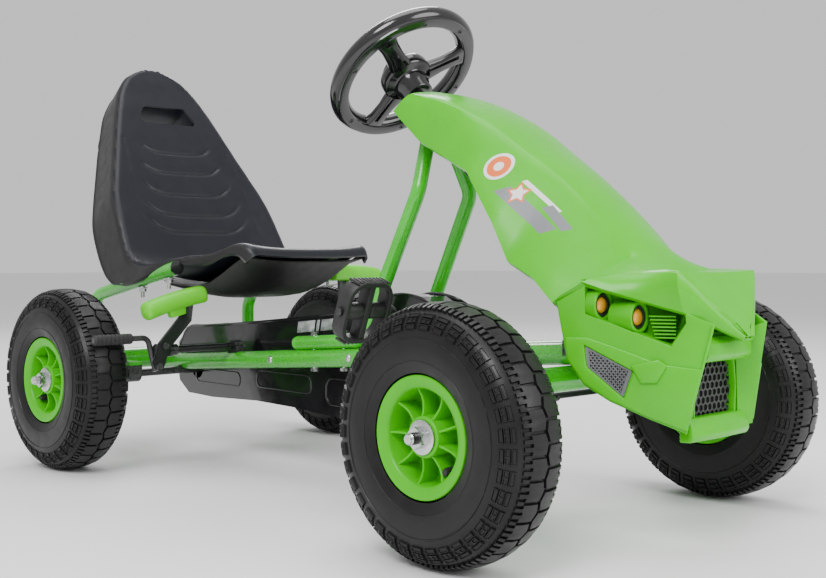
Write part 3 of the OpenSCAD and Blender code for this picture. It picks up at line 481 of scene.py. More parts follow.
def tread_height(u, s, side):
    """Height of the tread at u, in pitches, and s along the section. 0 is the top."""
    u = u % 1
    if s < CENTRE_GAP:
        return -GROOVE
    if s < BLOCK_END:
        shift = 0.0 if side > 0 else 0.5
        return -GROOVE if min((u - shift) % 1, (shift - u) % 1) < SLIT else 0.0
    third = u * 3 % 1
    if s < TEETH_END:
        return 0.0 if TOOTH[0] < third < TOOTH[1] else -GROOVE
    if s < RIB_START:
        return -GROOVE
    if s < RIB_END:
        band = (s - RIB_START) % BAND_STEP
        if band > BAND_WIDE or not BAR[0] < u < BAR[1]:
            return -GROOVE
        across = u < BAR_INSIDE[0] or u > BAR_INSIDE[1]
        framed = across or band < BAND_LINE or band > BAND_WIDE - BAND_LINE
        dot = RIB_START + BAND_STEP < s < RIB_START + 2 * BAND_STEP and DOT[0] < u < DOT[1]
        return -0.6 if framed or dot else -1.7
    if any(abs(s - line) < RING_HALF for line in RING_LINES):
        return -1.2
    return -GROOVE + min(1.0, (s - RIB_END) / 12) * 0.9


def tyre_shape():
    half = tyre_profile()
    lengths = distances(half)

    def at_length(s):
        j = max(i for i in range(len(lengths)) if lengths[i] <= s + 1e-9)
        j = min(j, len(half) - 2)
        t = (s - lengths[j]) / (lengths[j + 1] - lengths[j])
        p = half[j].lerp(half[j + 1], t)
        along = (half[j + 1] - half[j]).normalized()
        return p, Vector((-along.y, along.x, 0))

    edges = [CENTRE_GAP, BLOCK_END, TEETH_END, RIB_END]
    for k in range(3):
        edges += [RIB_START + k * BAND_STEP + e for e in (0, BAND_LINE, BAND_WIDE - BAND_LINE, BAND_WIDE)]
    for line in RING_LINES:
        edges += [line - RING_HALF, line + RING_HALF]
    rows = {0.0, 10.0, 23.5, 30.5, 43.5, 57.0, 67.0, 72.0, 78.0, 90.0, lengths[-1] - 3, lengths[-1]}
    for e in edges:
        rows |= {e - 0.3, e + 0.3}
    rows = sorted(r for r in rows if r <= lengths[-1])
    cols = set()
    slits = [SLIT, 0.5 - SLIT, 0.5 + SLIT, 1 - SLIT]
    teeth = [(k + f) / 3 for k in range(3) for f in TOOTH]
    for e in [*slits, *BAR, *BAR_INSIDE, *DOT, *teeth]:
        cols |= {round(e - 0.011, 4), round(e + 0.011, 4)}
    cols = sorted(cols)

    grid = []
    for side, line in ((-1, rows[::-1]), (1, rows[1:])):
        for s in line:
            p, out = at_length(s)
            ring = []
            for k in range(PITCHES):
                for u in cols:
                    h = tread_height(u, s, side)
                    zig = (4 * abs(u - 0.5) - 1) * 1.8 * max(0.0, min(1.0, (26 - s) / 8))
                    w = side * (p.x + out.x * h) + zig
                    r = p.y + out.y * h
                    a = 2 * math.pi * (k + u) / PITCHES
                    ring.append((r * math.sin(a), w, r * math.cos(a)))
            grid.append(ring)
    return Shape().grid(grid, close_rows=True, close_cols=True, place=Matrix.Scale(MM, 4))


RIM_PROFILE = [(60.2, 34.4), (59.4, 35.2), (57.6, 35.4), (49.4, 32.6), (47.6, 31.2), (46.6, 29.0),
               (45.6, 8.0), (44.6, 4.6), (42.0, 3.2), (23.5, 3.2), (21.6, 4.4), (21.0, 7.0), (20.4, 29.0),
               (19.4, 30.0), (6.6, 30.0)]


def rim_shape(ribs=9):
    shape = Shape()
    place = frame_along((0, 0, 0), Y, X)
    profile = RIM_PROFILE + [(r, -y) for r, y in reversed(RIM_PROFILE)]
    shape.lathe(profile, place, steps=108, closed=True)
    for k in range(ribs):
        for side in (-1, 1):
            turn = Matrix.Rotation(math.radians(20 + k * 360 / ribs), 4, Y)
            rows = []
            for r, top in ((19.5, 27.5), (25, 25.0), (33, 23.4), (40, 24.6), (47.2, 28.4)):
                rows.append([(r, side * 2.0, -1.9), (r, side * top, -1.3), (r, side * (top + 0.6), 0),
                             (r, side * top, 1.3), (r, side * 2.0, 1.9)])
            shape.grid(rows, close_cols=True, caps=True, place=turn)
    return shape.in_metres()


def valve_shape(side):
    """Rubber valve stem that leans out of the dish, with its screw cap."""
    shape = Shape()
    foot = Vector((23, side * 3, -29))
    place = frame_along(foot, Vector((0.08, side * 1, -0.12)))
    shape.lathe([(5.4, -1), (5.4, 1.2), (3.9, 2.6), (3.5, 11), (3.1, 12), (3.1, 13.5), (3.6, 14),
                 (3.6, 21), (3.0, 22.5), (1.6, 23)], place, steps=24)
    for k in range(10):
        a = 2 * math.pi * k / 10
        ridge = place @ Matrix.Translation((3.6 * math.cos(a), 3.6 * math.sin(a), 0))
        shape.lathe([(0.5, 14.2), (0.5, 20.8)], ridge, steps=6)
    return shape.in_metres()


def nut_shape(side, start):
    """Domed washer, hexagon nut with chamfered corners and the threaded axle end."""
    shape = Shape()
    place = frame_along((0, side * start, 0), Vector((0, side, 0)))
    shape.lathe([(6.2, -0.6), (16.6, -0.6), (17.2, 0.2), (16.8, 1.6), (12.4, 2.4), (6.2, 2.4)], place,
                steps=56, closed=True)
    rows = []
    for h, shrink in ((2.2, 0.93), (3.2, 1.0), (9.4, 1.0), (10.4, 0.93)):
        row = []
        for k in range(72):
            a = 2 * math.pi * k / 72
            flat = 9.4 / math.cos((a + math.pi / 6) % (math.pi / 3) - math.pi / 6)
            r = min(flat, 10.86 * shrink)
            row.append((r * math.cos(a), r * math.sin(a), h))
        rows.append(row)
    shape.grid(rows, close_cols=True, caps=True, place=place)
    thread = [(5.9, -8)]
    for k in range(9):
        thread += [(5.9, 9.2 + 1.1 * k), (5.3, 9.75 + 1.1 * k)]
    shape.lathe(thread + [(5.0, 19.6), (4.2, 20.2)], place, steps=32)
    return shape.in_metres()


def build_wheels():
    tyre = make("tyre_master", tyre_shape(), TYRE, sharp=28)
    rim = make("rim_master", rim_shape(), RIM, sharp=30, bevel=0.5, segments=3, shade=35)
    for name, (centre, side, body, axle_body) in WHEELS.items():
        turn = random.Random(name).uniform(0, 360) if name != "front_right" else 0
        for master, part, stands_for, slot in ((tyre, "tread", "tyre", "tyre_rubber"),
                                               (rim, "wheel", "rim", "rim_plastic")):
            obj = bpy.data.objects.new(f"{name}_{part}", master.data)
            bpy.context.collection.objects.link(obj)
            obj.location = centre
            if part == "wheel":
                obj.rotation_euler.y = math.radians(turn)
            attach(obj, body)
            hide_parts(f"{name}_{stands_for}")
        valve = make(f"{name}_valve", valve_shape(side), VALVE)
        valve.location = centre
        valve.rotation_euler.y = math.radians(turn)
        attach(valve, body)
        nut = make(f"{name}_nut", nut_shape(side, 30.6), ZINC, sharp=25)
        nut.location = centre
        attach(nut, axle_body)
        if name.startswith("front"):
            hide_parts(f"{name}_axle_nut")
    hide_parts("rear_axle_nuts")
    for master in (tyre, rim):
        bpy.data.objects.remove(master)


build_wheels()

# ------------------------------------------------------------------ seat

# Down the middle of the seat, from the top of the back to the front edge of the pan:
# x, z, half width, lift of the edges, depth of the skirt
SEAT_ROWS = [
    (-942, 625, 8, 0, 38), (-941, 623.5, 17, 0, 40), (-939, 620, 29, 0, 43), (-935, 613, 43, 0, 46),
    (-930, 604, 56, 0, 50), (-917, 580, 74, 0, 56),
    (-900, 550, 88, 1, 60), (-884, 520, 100, 2, 64), (-860, 474, 117, 5, 68), (-839, 434, 132, 9, 71),
    (-820, 398, 144, 13, 72), (-800, 361, 149, 18, 72), (-782, 326, 152, 22, 66), (-767, 300, 154, 26, 56),
    (-748, 281, 155, 34, 46), (-718, 270, 156, 44, 38), (-680, 266, 157, 54, 28),
    (-640, 268, 152, 64, 12), (-612, 275, 138, 60, 10), (-585, 286, 126, 44, 14),
    (-558, 300, 121, 28, 22), (-535, 312, 116, 18, 18), (-518, 314, 110, 10, 14), (-509, 304, 106, 8, 10)]
SEAT_STEPS = 300
SEAT_BACK_DIR = Vector((-0.75, 0, -0.66)).normalized()
SEAT_WALL = 3.6

# Pressed grooves: lowest point on the centre line, half width and height of the ends
GROOVES = [(477, 62, 487), (443, 73, 457), (406, 82, 425), (372, 90, 394), (344, 92, 366)]
GROOVE_R, GROOVE_DEEP = 4.4, 2.2
SEAM_R, SEAM_DEEP = 3.0, 0.9        # shallow line down both sides of the back


def dip(off, reach, deep):
    """Depth of a groove with a rounded section, at a distance from its middle."""
    return deep * (0.5 + 0.5 * math.cos(math.pi * off / reach)) if off < reach else 0.0


def groove_depth(y, z):
    """Depth of the grooves across the back, each a wide U whose ends turn up."""
    deep = 0.0
    for low, half, top in GROOVES:
        t = min(1.25, abs(y) / half)
        line = low + (top - low) * t ** 5
        off = abs(z - line)
        end = max(0.0, abs(y) - half)
        deep = max(deep, dip(math.hypot(off, end), GROOVE_R, GROOVE_DEEP))
    if 340 < z < 500:
        deep = max(deep, dip(abs(abs(y) - (100 + (474 - z) * 0.09)), SEAM_R, SEAM_DEEP))
    return deep


def seat_shape():
    middle_line = spline([Vector((r[0], 0, r[1])) for r in SEAT_ROWS], 24)
    sizes = spline([Vector((r[2], r[3], r[4])) for r in SEAT_ROWS], 24)
    spots = stations(distances(middle_line), SEAT_STEPS)
    rows = [middle_line[j].lerp(middle_line[j + 1], t) for j, t in spots]
    widths = [sizes[j].lerp(sizes[j + 1], t) for j, t in spots]
    grid = []
    for i, c in enumerate(rows):
        half, lift, skirt = widths[i]
        ahead, behind = rows[min(len(rows) - 1, i + 1)], rows[max(0, i - 1)]
        along = (ahead - behind).normalized()
        normal = Vector((-along.z, 0, along.x))
        if normal.x < 0 and normal.z < 0:
            normal = -normal
        half, lift, skirt = max(8.0, half), max(0.0, lift), max(4.0, skirt)
        across = []
        for k in range(33):
            y = k / 32
            across.append(c + normal * lift * (0.8 * y) ** 3 + Y * (half - 7) * y)
        edge = across[-1]
        for k in range(1, 6):
            a = math.radians(18 * k)
            across.append(edge + Y * 7 * math.sin(a) + SEAT_BACK_DIR * 7 * (1 - math.cos(a)))
        across.append(across[-1] + SEAT_BACK_DIR * (skirt - 4) + Y * 1.5)
        across.append(across[-1] + SEAT_BACK_DIR * 3 + Y * 2.6)
        across = evenly(across, 56)
        row = []
        for p in across:
            deep = groove_depth(p.y, p.z) if p.x < -770 else 0.0
            row.append(p - normal * deep)
        mirror = [Vector((p.x, -p.y, p.z)) for p in row[:0:-1]]
        grid.append(mirror + row)
    return Shape().grid(grid)


SLOT_PLACE = frame_along((-898, 0, 543), Vector((0.85, 0, 0.53)).normalized(), Vector((-0.53, 0, 0.85)))


def slot_outline(grow):
    """Trapezoid of the carry slot with round corners: local X runs up the back."""
    corners = [Vector(p) for p in ((17, -40, 0), (17, 40, 0), (-17, 58, 0), (-17, -58, 0))]
    out = []
    for i, corner in enumerate(corners):
        arc = rounded_path([corners[i - 1], corner, corners[(i + 1) % 4]], 8, 5)[1:-1]
        out += [(p.x, p.y) for p in arc]
    return [(x * (1 + grow / 17), y * (1 + grow / 50)) for x, y in out]


def build_seat():
    shape = seat_shape()
    cutter = to_scene(Shape().prism(slot_outline(0), -60, 60, SLOT_PLACE))
    seat = piece("seat", shape, SEAT, "frame", "seat_plastic", ["seat_shell"],
                 sharp=50, solid=-SEAT_WALL, cut=cutter)
    # Faces that look sideways take the copy of the seat plastic with painted shade
    seat.data.materials.append(SEAT_PAINTED_SHADE)
    for face in seat.data.polygons:
        if abs(face.normal.y) > 0.72:
            face.material_index = 1
    # The slot's moulded tunnel
    rows = rings(*((slot_outline(grow), h) for h, grow in (
        (2.6, 4.0), (3.4, 2.4), (2.6, 0.6), (0.5, -0.2), (-38, -1.6), (-38, 0.8), (-1.5, 2.6), (0.5, 4.0))))
    tunnel = Shape().grid(rows, close_rows=True, close_cols=True, place=SLOT_PLACE)
    piece("seat_slot_tunnel", tunnel, SEAT, "frame", "seat_plastic", sharp=40)
    # Closed belly below the pan, in the copy of the seat plastic with painted shade
    rows = []
    for x, z, deep in ((-760, 286, 6), (-718, 268, 9), (-680, 264, 12), (-640, 265, 16), (-612, 272, 20),
                       (-585, 283, 24), (-558, 296, 24), (-532, 308, 18), (-514, 308, 6)):
        rows.append([(x, y, z - 2 - deep * (1 - (abs(y) / 105) ** 4)) for y in range(-105, 106, 15)])
    piece("seat_belly", Shape().grid(rows), SEAT_PAINTED_SHADE, "frame", "seat_plastic", solid=2.5, sharp=40)


build_seat()

# ------------------------------------------------------------------ steering wheel

COLUMN_RAKE = math.radians(41.75)
COLUMN_AXIS = Vector((-math.sin(COLUMN_RAKE), 0, math.cos(COLUMN_RAKE)))
WHEEL_MIDDLE = Vector((-6, 0, 200)) + COLUMN_AXIS * 468
WHEEL_R, WHEEL_RIM_R = 106.0, 12.5


def build_steering_wheel():
    towards_driver = Vector((-math.cos(COLUMN_RAKE), 0, -math.sin(COLUMN_RAKE)))
    place = frame_along(WHEEL_MIDDLE, COLUMN_AXIS, towards_driver)
    ring = WHEEL_R - WHEEL_RIM_R
    rim = Shape()
    profile = []
    for k in range(28):
        a = 2 * math.pi * k / 28
        r, h = ring + WHEEL_RIM_R * math.cos(a), WHEEL_RIM_R * math.sin(a)
        profile.append((r, h))
    rim.lathe(profile, place, steps=128, closed=True)
    # Raised ring that closes the lower half of the rim
    rim.lathe([(ring - 7.5, -11.2), (ring - 7, -12.9), (ring - 5, -13.4), (ring + 4, -13.4),
               (ring + 6, -12.9), (ring + 6.5, -11.0)], place, steps=128, closed=True)
    piece("steering_wheel_rim", rim, GLOSS_BLACK, "steering", "black_plastic",
          ["steering_wheel"], sharp=50)
    spokes = Shape()
    for angle in (0, 125, 235):
        turn = place @ Matrix.Rotation(math.radians(angle), 4, "Z")
        rows = []
        for r, w, low, high in ((16, 17, -17, -3), (32, 15, -17, -3), (50, 12.5, -15, -2),
                                (70, 12.5, -13, 0), (84, 15, -12, 3), (94, 20, -10, 4)):
            rows.append([(r, -w, low + 4), (r, -w + 4, low), (r, w - 4, low), (r, w, low + 4),
                         (r, w, high - 4), (r, w - 5, high), (r, -w + 5, high), (r, -w, high - 4)])
        spokes.grid(rows, close_cols=True, caps=True, place=turn)
        spokes.grid([[(r, -w, -19 + d), (r, w, -19 + d), (r, w * 0.7, -15), (r, -w * 0.7, -15)]
                     for r, w, d in ((30, 6, 0), (80, 4, 4))], close_cols=True, caps=True, place=turn)
    piece("steering_wheel_spokes", spokes, GLOSS_BLACK, "steering", "black_plastic", bevel=1.6)
    hub = Shape()
    hub.lathe([(31, 1.0), (33.5, 0), (34.5, -3), (34.5, -14), (32, -17), (24, -19), (22.5, -22),
               (22.5, -32), (20.5, -34), (20.5, -44), (18.5, -46), (9, -46)], place, steps=72)
    piece("steering_wheel_hub", hub, GLOSS_BLACK, "steering", "black_plastic", sharp=50)
    cap = Shape()
    cap.lathe([(30.5, -1), (30.5, 1.2), (29.5, 2.2), (27.5, 2.4), (27.0, 3.4), (26.2, 8.5),
               (23.5, 11.6), (19, 13.6), (12, 15.2), (5, 15.9), (0.5, 16.0)], place, steps=72)
    piece("horn_cap", cap, MESH_BLACK, "steering", "black_plastic", ["steering_wheel_cap"], sharp=50)
    screws = Shape()
    for angle in (30, 90, 160, 200, 270, 330):
        a = math.radians(angle)
        at = Matrix.Translation((math.cos(a) * (ring - 1), math.sin(a) * (ring - 1), -13.4))
        screws.lathe([(3.4, -1), (3.4, 0.2), (2.6, 0.9), (1.5, 1.0), (1.3, 0.2), (0.4, 0.1)],
                     place @ at @ Matrix.Rotation(math.pi, 4, "X"), steps=20)
    piece("steering_wheel_screws", screws, METAL_BLACK, "steering", "black_metal")


build_steering_wheel()

# ------------------------------------------------------------------ fairing

# From the wheel down to the nose: crown x z, shoulder x y z, edge x y z
HOOD_ROWS = [
    ((-246, 512), (-244, 58, 505), (-264, 65, 488)),
    ((-205, 503), (-205, 57, 496), (-216, 67, 447)),
    ((-167, 489), (-167, 55, 482), (-168, 76, 425)),
    ((-119, 465), (-119, 52, 457), (-121, 86, 404)),
    ((-75, 434), (-75, 48, 427), (-71, 97, 342)),
    ((-17, 394), (-17, 43, 386), (-44, 102, 300)),
    ((34, 350), (34, 42, 342), (-6, 106, 282)),
    ((70, 318), (72, 46, 300), (30, 118, 257)),
    ((101, 284), (104, 60, 288), (61, 108, 277)),
    ((149, 285), (149, 73, 287), (150, 65, 250)),
    ((184, 222), (184, 4, 222.5), (184, 8, 222))]
CURVED_ROWS = 8     # rows from the wheel whose top runs in one curve; flat facets follow
HOOD_WALL = 3.0
STAR_POINT = 1.9    # how steeply the printed star's edges run in from its points


def decal_colours(tree, base):
    """Plain printed shapes on the fairing: a roundel, a star, slashes and a grey band."""
    place = tree.nodes.new("ShaderNodeTexCoord").outputs["Object"]
    parts = tree.nodes.new("ShaderNodeSeparateXYZ")
    tree.links.new(place, parts.inputs["Vector"])

    def math_node(operation, a, b=None, c=None):
        node = tree.nodes.new("ShaderNodeMath")
        node.operation = operation
        for socket, value in zip(node.inputs, (a, b, c)):
            if value is None:
                continue
            if isinstance(value, (int, float)):
                socket.default_value = value
            else:
                tree.links.new(value, socket)
        return node.outputs["Value"]

    def add(a, b):
        return math_node("ADD", a, b)

    def less(a, b):
        return math_node("SUBTRACT", a, b)

    def times(a, b):
        return math_node("MULTIPLY", a, b)

    def size(u, v):
        return math_node("SQRT", add(times(u, u), times(v, v)))

    def along(x, z, angle):
        """Coordinates in millimetres about a centre, turned by an angle in the side view."""
        c = kart(x, 0, z)
        dx = less(parts.outputs["X"], c.x)
        dz = less(parts.outputs["Z"], c.z)
        a = math.radians(angle)
        u = add(times(dx, math.cos(a) / MM), times(dz, math.sin(a) / MM))
        v = add(times(dx, -math.sin(a) / MM), times(dz, math.cos(a) / MM))
        return u, v

    def inside(distance):
        """1 where the signed distance in millimetres is below zero."""
        return math_node("LESS_THAN", distance, 0.0)

    def disc(x, z, r):
        u, v = along(x, z, 0)
        return inside(less(size(u, v), r))

    def slash(x, z, angle, half_u, half_v, lean):
        """Leaning bar."""
        u, v = along(x, z, angle)
        u = add(u, times(v, lean))
        return inside(math_node("MAXIMUM", less(math_node("ABSOLUTE", u), half_u),
                                less(math_node("ABSOLUTE", v), half_v)))

    def star(x, z, r):
        """Five-pointed star."""
        u, v = along(x, z, 0)
        turn = math_node("ARCTAN2", u, v)
        fold = math_node("PINGPONG", add(turn, 2 * math.pi), math.pi / 5)
        far = size(u, v)
        edge = add(times(far, math_node("COSINE", fold)),
                   times(times(far, math_node("SINE", fold)), STAR_POINT))
        return inside(less(edge, r))

    ink = {"white": (0.80, 0.80, 0.78), "orange": (0.80, 0.16, 0.03), "grey": (0.20, 0.21, 0.22)}
    colour = base
    for mask, shade in (
            (slash(-42, 356, -38, 40, 7, -0.7), "grey"),
            (slash(-30, 371, -38, 30, 2.2, -0.7), "white"),
            (slash(-6, 346, -42, 20, 4.5, -0.7), "grey"),
            (star(-55, 375, 13.5), "orange"),
            (star(-55, 375, 10), "white"),
            (disc(-86, 407, 15.5), "white"),
            (disc(-86, 407, 12.2), "orange"),
            (disc(-86, 407, 5.2), "white")):
        colour = mix(tree, mask, colour, ink[shade])
    return colour


def fairing_material():
    mat = shell_plastic("shell_printed")
    tree = mat.node_tree
    shader = tree.nodes["Principled BSDF"]
    link = shader.inputs["Base Color"].links[0]
    tree.links.new(decal_colours(tree, link.from_socket), shader.inputs["Base Color"])
    return mat


def hood_sections():
    """Finer rows of (edge, mid flank, shoulder, near crown, crown) for the right side."""
    cols = [[], [], [], []]
    for crown, shoulder, edge in HOOD_ROWS:
        s, e = Vector(shoulder), Vector(edge)
        cols[0].append(Vector((crown[0], 0, crown[1])))
        cols[1].append(s)
        cols[2].append((s * 0.5 + e * 0.5) + Vector((0, 2.5, 0)))
        cols[3].append(e)
    curved = [spline(c[:CURVED_ROWS], 5)[:-1] + straight(c[CURVED_ROWS - 1:], 5) for c in cols[:2]]
    return curved + [straight(c, 5) for c in cols[2:]]


def build_hood():
    crown, shoulder, flank, edge = hood_sections()
    rows = []
    for c, s, f, e in zip(crown, shoulder, flank, edge):
        half = []
        for k in range(7):
            t = k / 6
            half.append(Vector((c.x + (s.x - c.x) * t, s.y * t, c.z + (s.z - c.z) * t ** 2)))
        # Rolled shoulder between the top and the flank
        down = (f - s).normalized()
        half[-1] = half[-1] + Vector((0, -1.6, 0.2))
        half.append(s + down * 1.6 + Vector((0, 0.3, 0)))
        for k in range(1, 6):
            t = k / 5
            half.append(s.lerp(f, t) + Vector((0, math.sin(math.pi * t) * 1.2, 0)))
        for k in range(1, 6):
            half.append(f.lerp(e, k / 5))
        # Turned-in hem along the edge
        half.append(e + Vector((0, -2.5, -1.5)))
        half.append(e + Vector((0, -7, -0.5)))
        rows.append([Vector((p.x, -p.y, p.z)) for p in half[:0:-1]] + half)
    shape = Shape().grid(rows)
    hood = piece("hood", shape, fairing_material(), "frame", "shell_plastic", ["hood_shell"],
                 sharp=24, solid=-HOOD_WALL, even=False)
    # The printed shapes stay on the outer faces only
    hood.data.materials.append(SHELL)
    for face in hood.data.polygons:
        if face.normal.z < -0.2 or face.normal.y * face.center.y < -1e-4:
            face.material_index = 1


build_hood()

# ------------------------------------------------------------------ bumper

WALL_A, WALL_B = Vector((35, 120, 0)), Vector((154, 63, 0))
WALL_DIR = (WALL_B - WALL_A).normalized()
WALL_OUT = Vector((-WALL_DIR.y, WALL_DIR.x, 0))


def wall_frame(side):
    """Local X along the bumper's side wall, Y up and Z outwards, in kart millimetres."""
    x = Vector((WALL_DIR.x, side * WALL_DIR.y, 0))
    z = Vector((WALL_OUT.x, side * WALL_OUT.y, 0))
    m = Matrix((x, Z, z)).transposed().to_4x4()
    return Matrix.Translation((WALL_A.x, side * WALL_A.y, 0)) @ m


def on_wall(x, y, z):
    """Place of a point on the wall plane in the wall's own X and Y."""
    return (Vector((x, y, 0)) - WALL_A).dot(WALL_DIR), z


def plate(outline, holes, low, high, place):
    """Prism of an outline with holes."""
    points, edges = [], []
    for loop in [outline] + holes:
        first = len(points)
        points += [Vector(p) for p in loop]
        edges += [(first + i, first + (i + 1) % len(loop)) for i in range(len(loop))]
    verts, _, faces, *_ = delaunay_2d_cdt(points, edges, [], 2 if holes else 1, 1e-5)
    kept = []
    for f in faces:
        c = sum((verts[i] for i in f), Vector((0, 0))) / len(f)
        if inside_loop(c, outline) and not any(inside_loop(c, h) for h in holes):
            kept.append(f)
    shape = Shape()
    n = len(verts)
    shape.points = [Vector((v.x, v.y, low)) for v in verts] + [Vector((v.x, v.y, high)) for v in verts]
    shape.faces = [list(f)[::-1] for f in kept] + [[i + n for i in f] for f in kept]
    used = {}
    for f in kept:
        for a, b in zip(f, list(f[1:]) + [f[0]]):
            used[(a, b)] = True
    for a, b in used:
        if (b, a) not in used:
            shape.faces.append([a, b, b + n, a + n])
    shape.points = [place @ p for p in shape.points]
    return shape


def inside_loop(p, loop):
    hit = False
    for (ax, ay), (bx, by) in zip(loop, list(loop[1:]) + [loop[0]]):
        if (ay > p.y) != (by > p.y) and p.x < (bx - ax) * (p.y - ay) / (by - ay) + ax:
            hit = not hit
    return hit


POCKET = [(62, 107, 245), (140, 70, 214), (153, 64, 237), (152, 64, 251), (61, 108, 280)]
GRILLE = [(64, 106, 210), (66, 105, 191), (96, 91, 164), (103, 87, 188)]
CANS = [(73, 89.5, 254), (106, 73.5, 242)]
WALL_OUTLINE = [(35, 120, 257), (40, 117, 225), (45, 116, 198), (61, 108, 172), (85, 96, 156),
                (119, 75, 140), (154, 63, 127), (178, 51.5, 236), (152, 64, 248), (153, 64, 237),
                (140, 70, 214), (62, 107, 245), (62, 108, 274)]
CREASE = [(43, 116, 221), (65, 106, 221), (101, 89, 208), (130, 74, 196), (167, 57, 192)]
BELOW_CREASE = [(154, 63, 130), (119, 75, 142), (85, 96, 158), (62, 108, 174), (46, 116, 199)]
BUMP = [(104, 87, 194), (113, 83, 176), (128, 76, 177), (137, 71, 195), (129, 75, 201)]


def shrink(loop, amount):
    """Loop moved towards its own middle by a share of its size."""
    c = sum((Vector(p) for p in loop), Vector((0, 0))) / len(loop)
    return [tuple(c + (Vector(p) - c) * (1 - amount)) for p in loop]


def build_bumper(label, side):
    place = wall_frame(side)
    wall = [on_wall(*p) for p in WALL_OUTLINE]
    grille = [on_wall(*p) for p in GRILLE]
    shape = plate(wall, [grille], -3, 0, place)
    shell_piece(f"{label}_bumper_wall", shape, bevel=0.9)
    # Raised lower part below the crease, with its own grille opening
    lower = [on_wall(*p) for p in CREASE + BELOW_CREASE]
    shape = plate(lower, [shrink(grille, -0.16)], -0.5, 3.0, place)
    shell_piece(f"{label}_bumper_relief", shape, bevel=1.4)
    shape = plate([on_wall(*p) for p in BUMP], [], 2.5, 6.0, place)
    shell_piece(f"{label}_bumper_bump", shape, bevel=2.0)
    # Recess behind the headlights
    outer = [on_wall(*p) for p in POCKET]
    rows = rings(*((shrink(outer, shift), depth) for shift, depth in (
        (-0.05, -3.0), (0.0, -4), (0.10, -26), (0.10, -29))))
    shape = Shape().grid(rows, close_cols=True, place=place)
    back = rows[2]
    shape.add(back, [list(range(len(back)))], place)
    shell_piece(f"{label}_light_pocket", shape, solid=-2.0, bevel=0.6, segments=2)
    # Louvres beside the lamps
    louvres = Shape()
    (x0, _), (x1, _) = on_wall(119, 80, 0), on_wall(143, 68, 0)
    for k in range(7):
        y = 221 + k * 3.6
        start = x0 + 6 - k
        louvres.prism([(start, y), (x1, y), (x1, y + 1.5), (start, y + 1.5)], -15, -9, place)
    shell_piece(f"{label}_pocket_louvres", louvres, bevel=0.3, segments=2)
    # Lamps, which all look straight ahead
    cans, bezels, lenses = Shape(), Shape(), Shape()
    for x, y, z in CANS:
        aim = frame_along((x, side * y, z), X, Y)
        cans.lathe([(16.6, -28), (16.9, -3), (16.3, -0.6), (14.8, 0), (13.0, -0.6), (12.4, -2.5),
                    (12.2, -7), (4, -7)], aim, steps=56)
        bezels.lathe([(12.2, -7), (12.1, -2.6), (11.4, -1.8), (9.6, -2.2), (8.7, -3.4), (8.5, -7)],
                     aim, steps=48, closed=True)
        lenses.lathe([(8.7, -7), (8.6, -3.6), (7.4, -2.2), (5.2, -1.1), (2.6, -0.5), (0.3, -0.4)],
                     aim, steps=48)
    shell_piece(f"{label}_lamp_cans", cans, sharp=40)
    piece(f"{label}_lamp_bezels", bezels, MESH_BLACK, "frame", "mesh_plastic", sharp=40)
    piece(f"{label}_lamp_lenses", lenses, LENS, "frame", "lens_amber", sharp=50)
    # Side grille: slanting bars both ways in the opening
    mesh = Shape()
    gx = [p[0] for p in grille]
    gy = [p[1] for p in grille]
    for lean in (-1, 1):
        for k in range(-14, 26):
            base = min(gx) + k * 4.2
            run = []
            for t in range(int((max(gy) - min(gy)) * 2) + 1):
                y = min(gy) + t * 0.5
                x = base + lean * (y - min(gy)) * 0.8 + (16 if lean < 0 else 0)
                if inside_loop(Vector((x, y)), grille):
                    run.append((x, y))
            if len(run) > 4:
                bar = [[(x - 0.8, y, -1.6), (x + 0.8, y, -1.6), (x + 0.8, y, 0.8), (x - 0.8, y, 0.8)]
                       for x, y in (run[0], run[-1])]
                mesh.grid(bar, close_cols=True, caps=True, place=place)
    rim, opening = shrink(grille, -0.10), shrink(grille, 0.06)
    rows = rings((rim, -2.4), (rim, 1.2), (opening, 1.2), (opening, -2.4))
    mesh.grid(rows, close_rows=True, close_cols=True, place=place)
    mesh.prism(shrink(grille, -0.08), -4.5, -3.5, place)
    piece(f"{label}_side_grille", mesh, GREY_MESH, "frame", "mesh_plastic", sharp=40)


for label, side in SIDES.items():
    build_bumper(label, side)


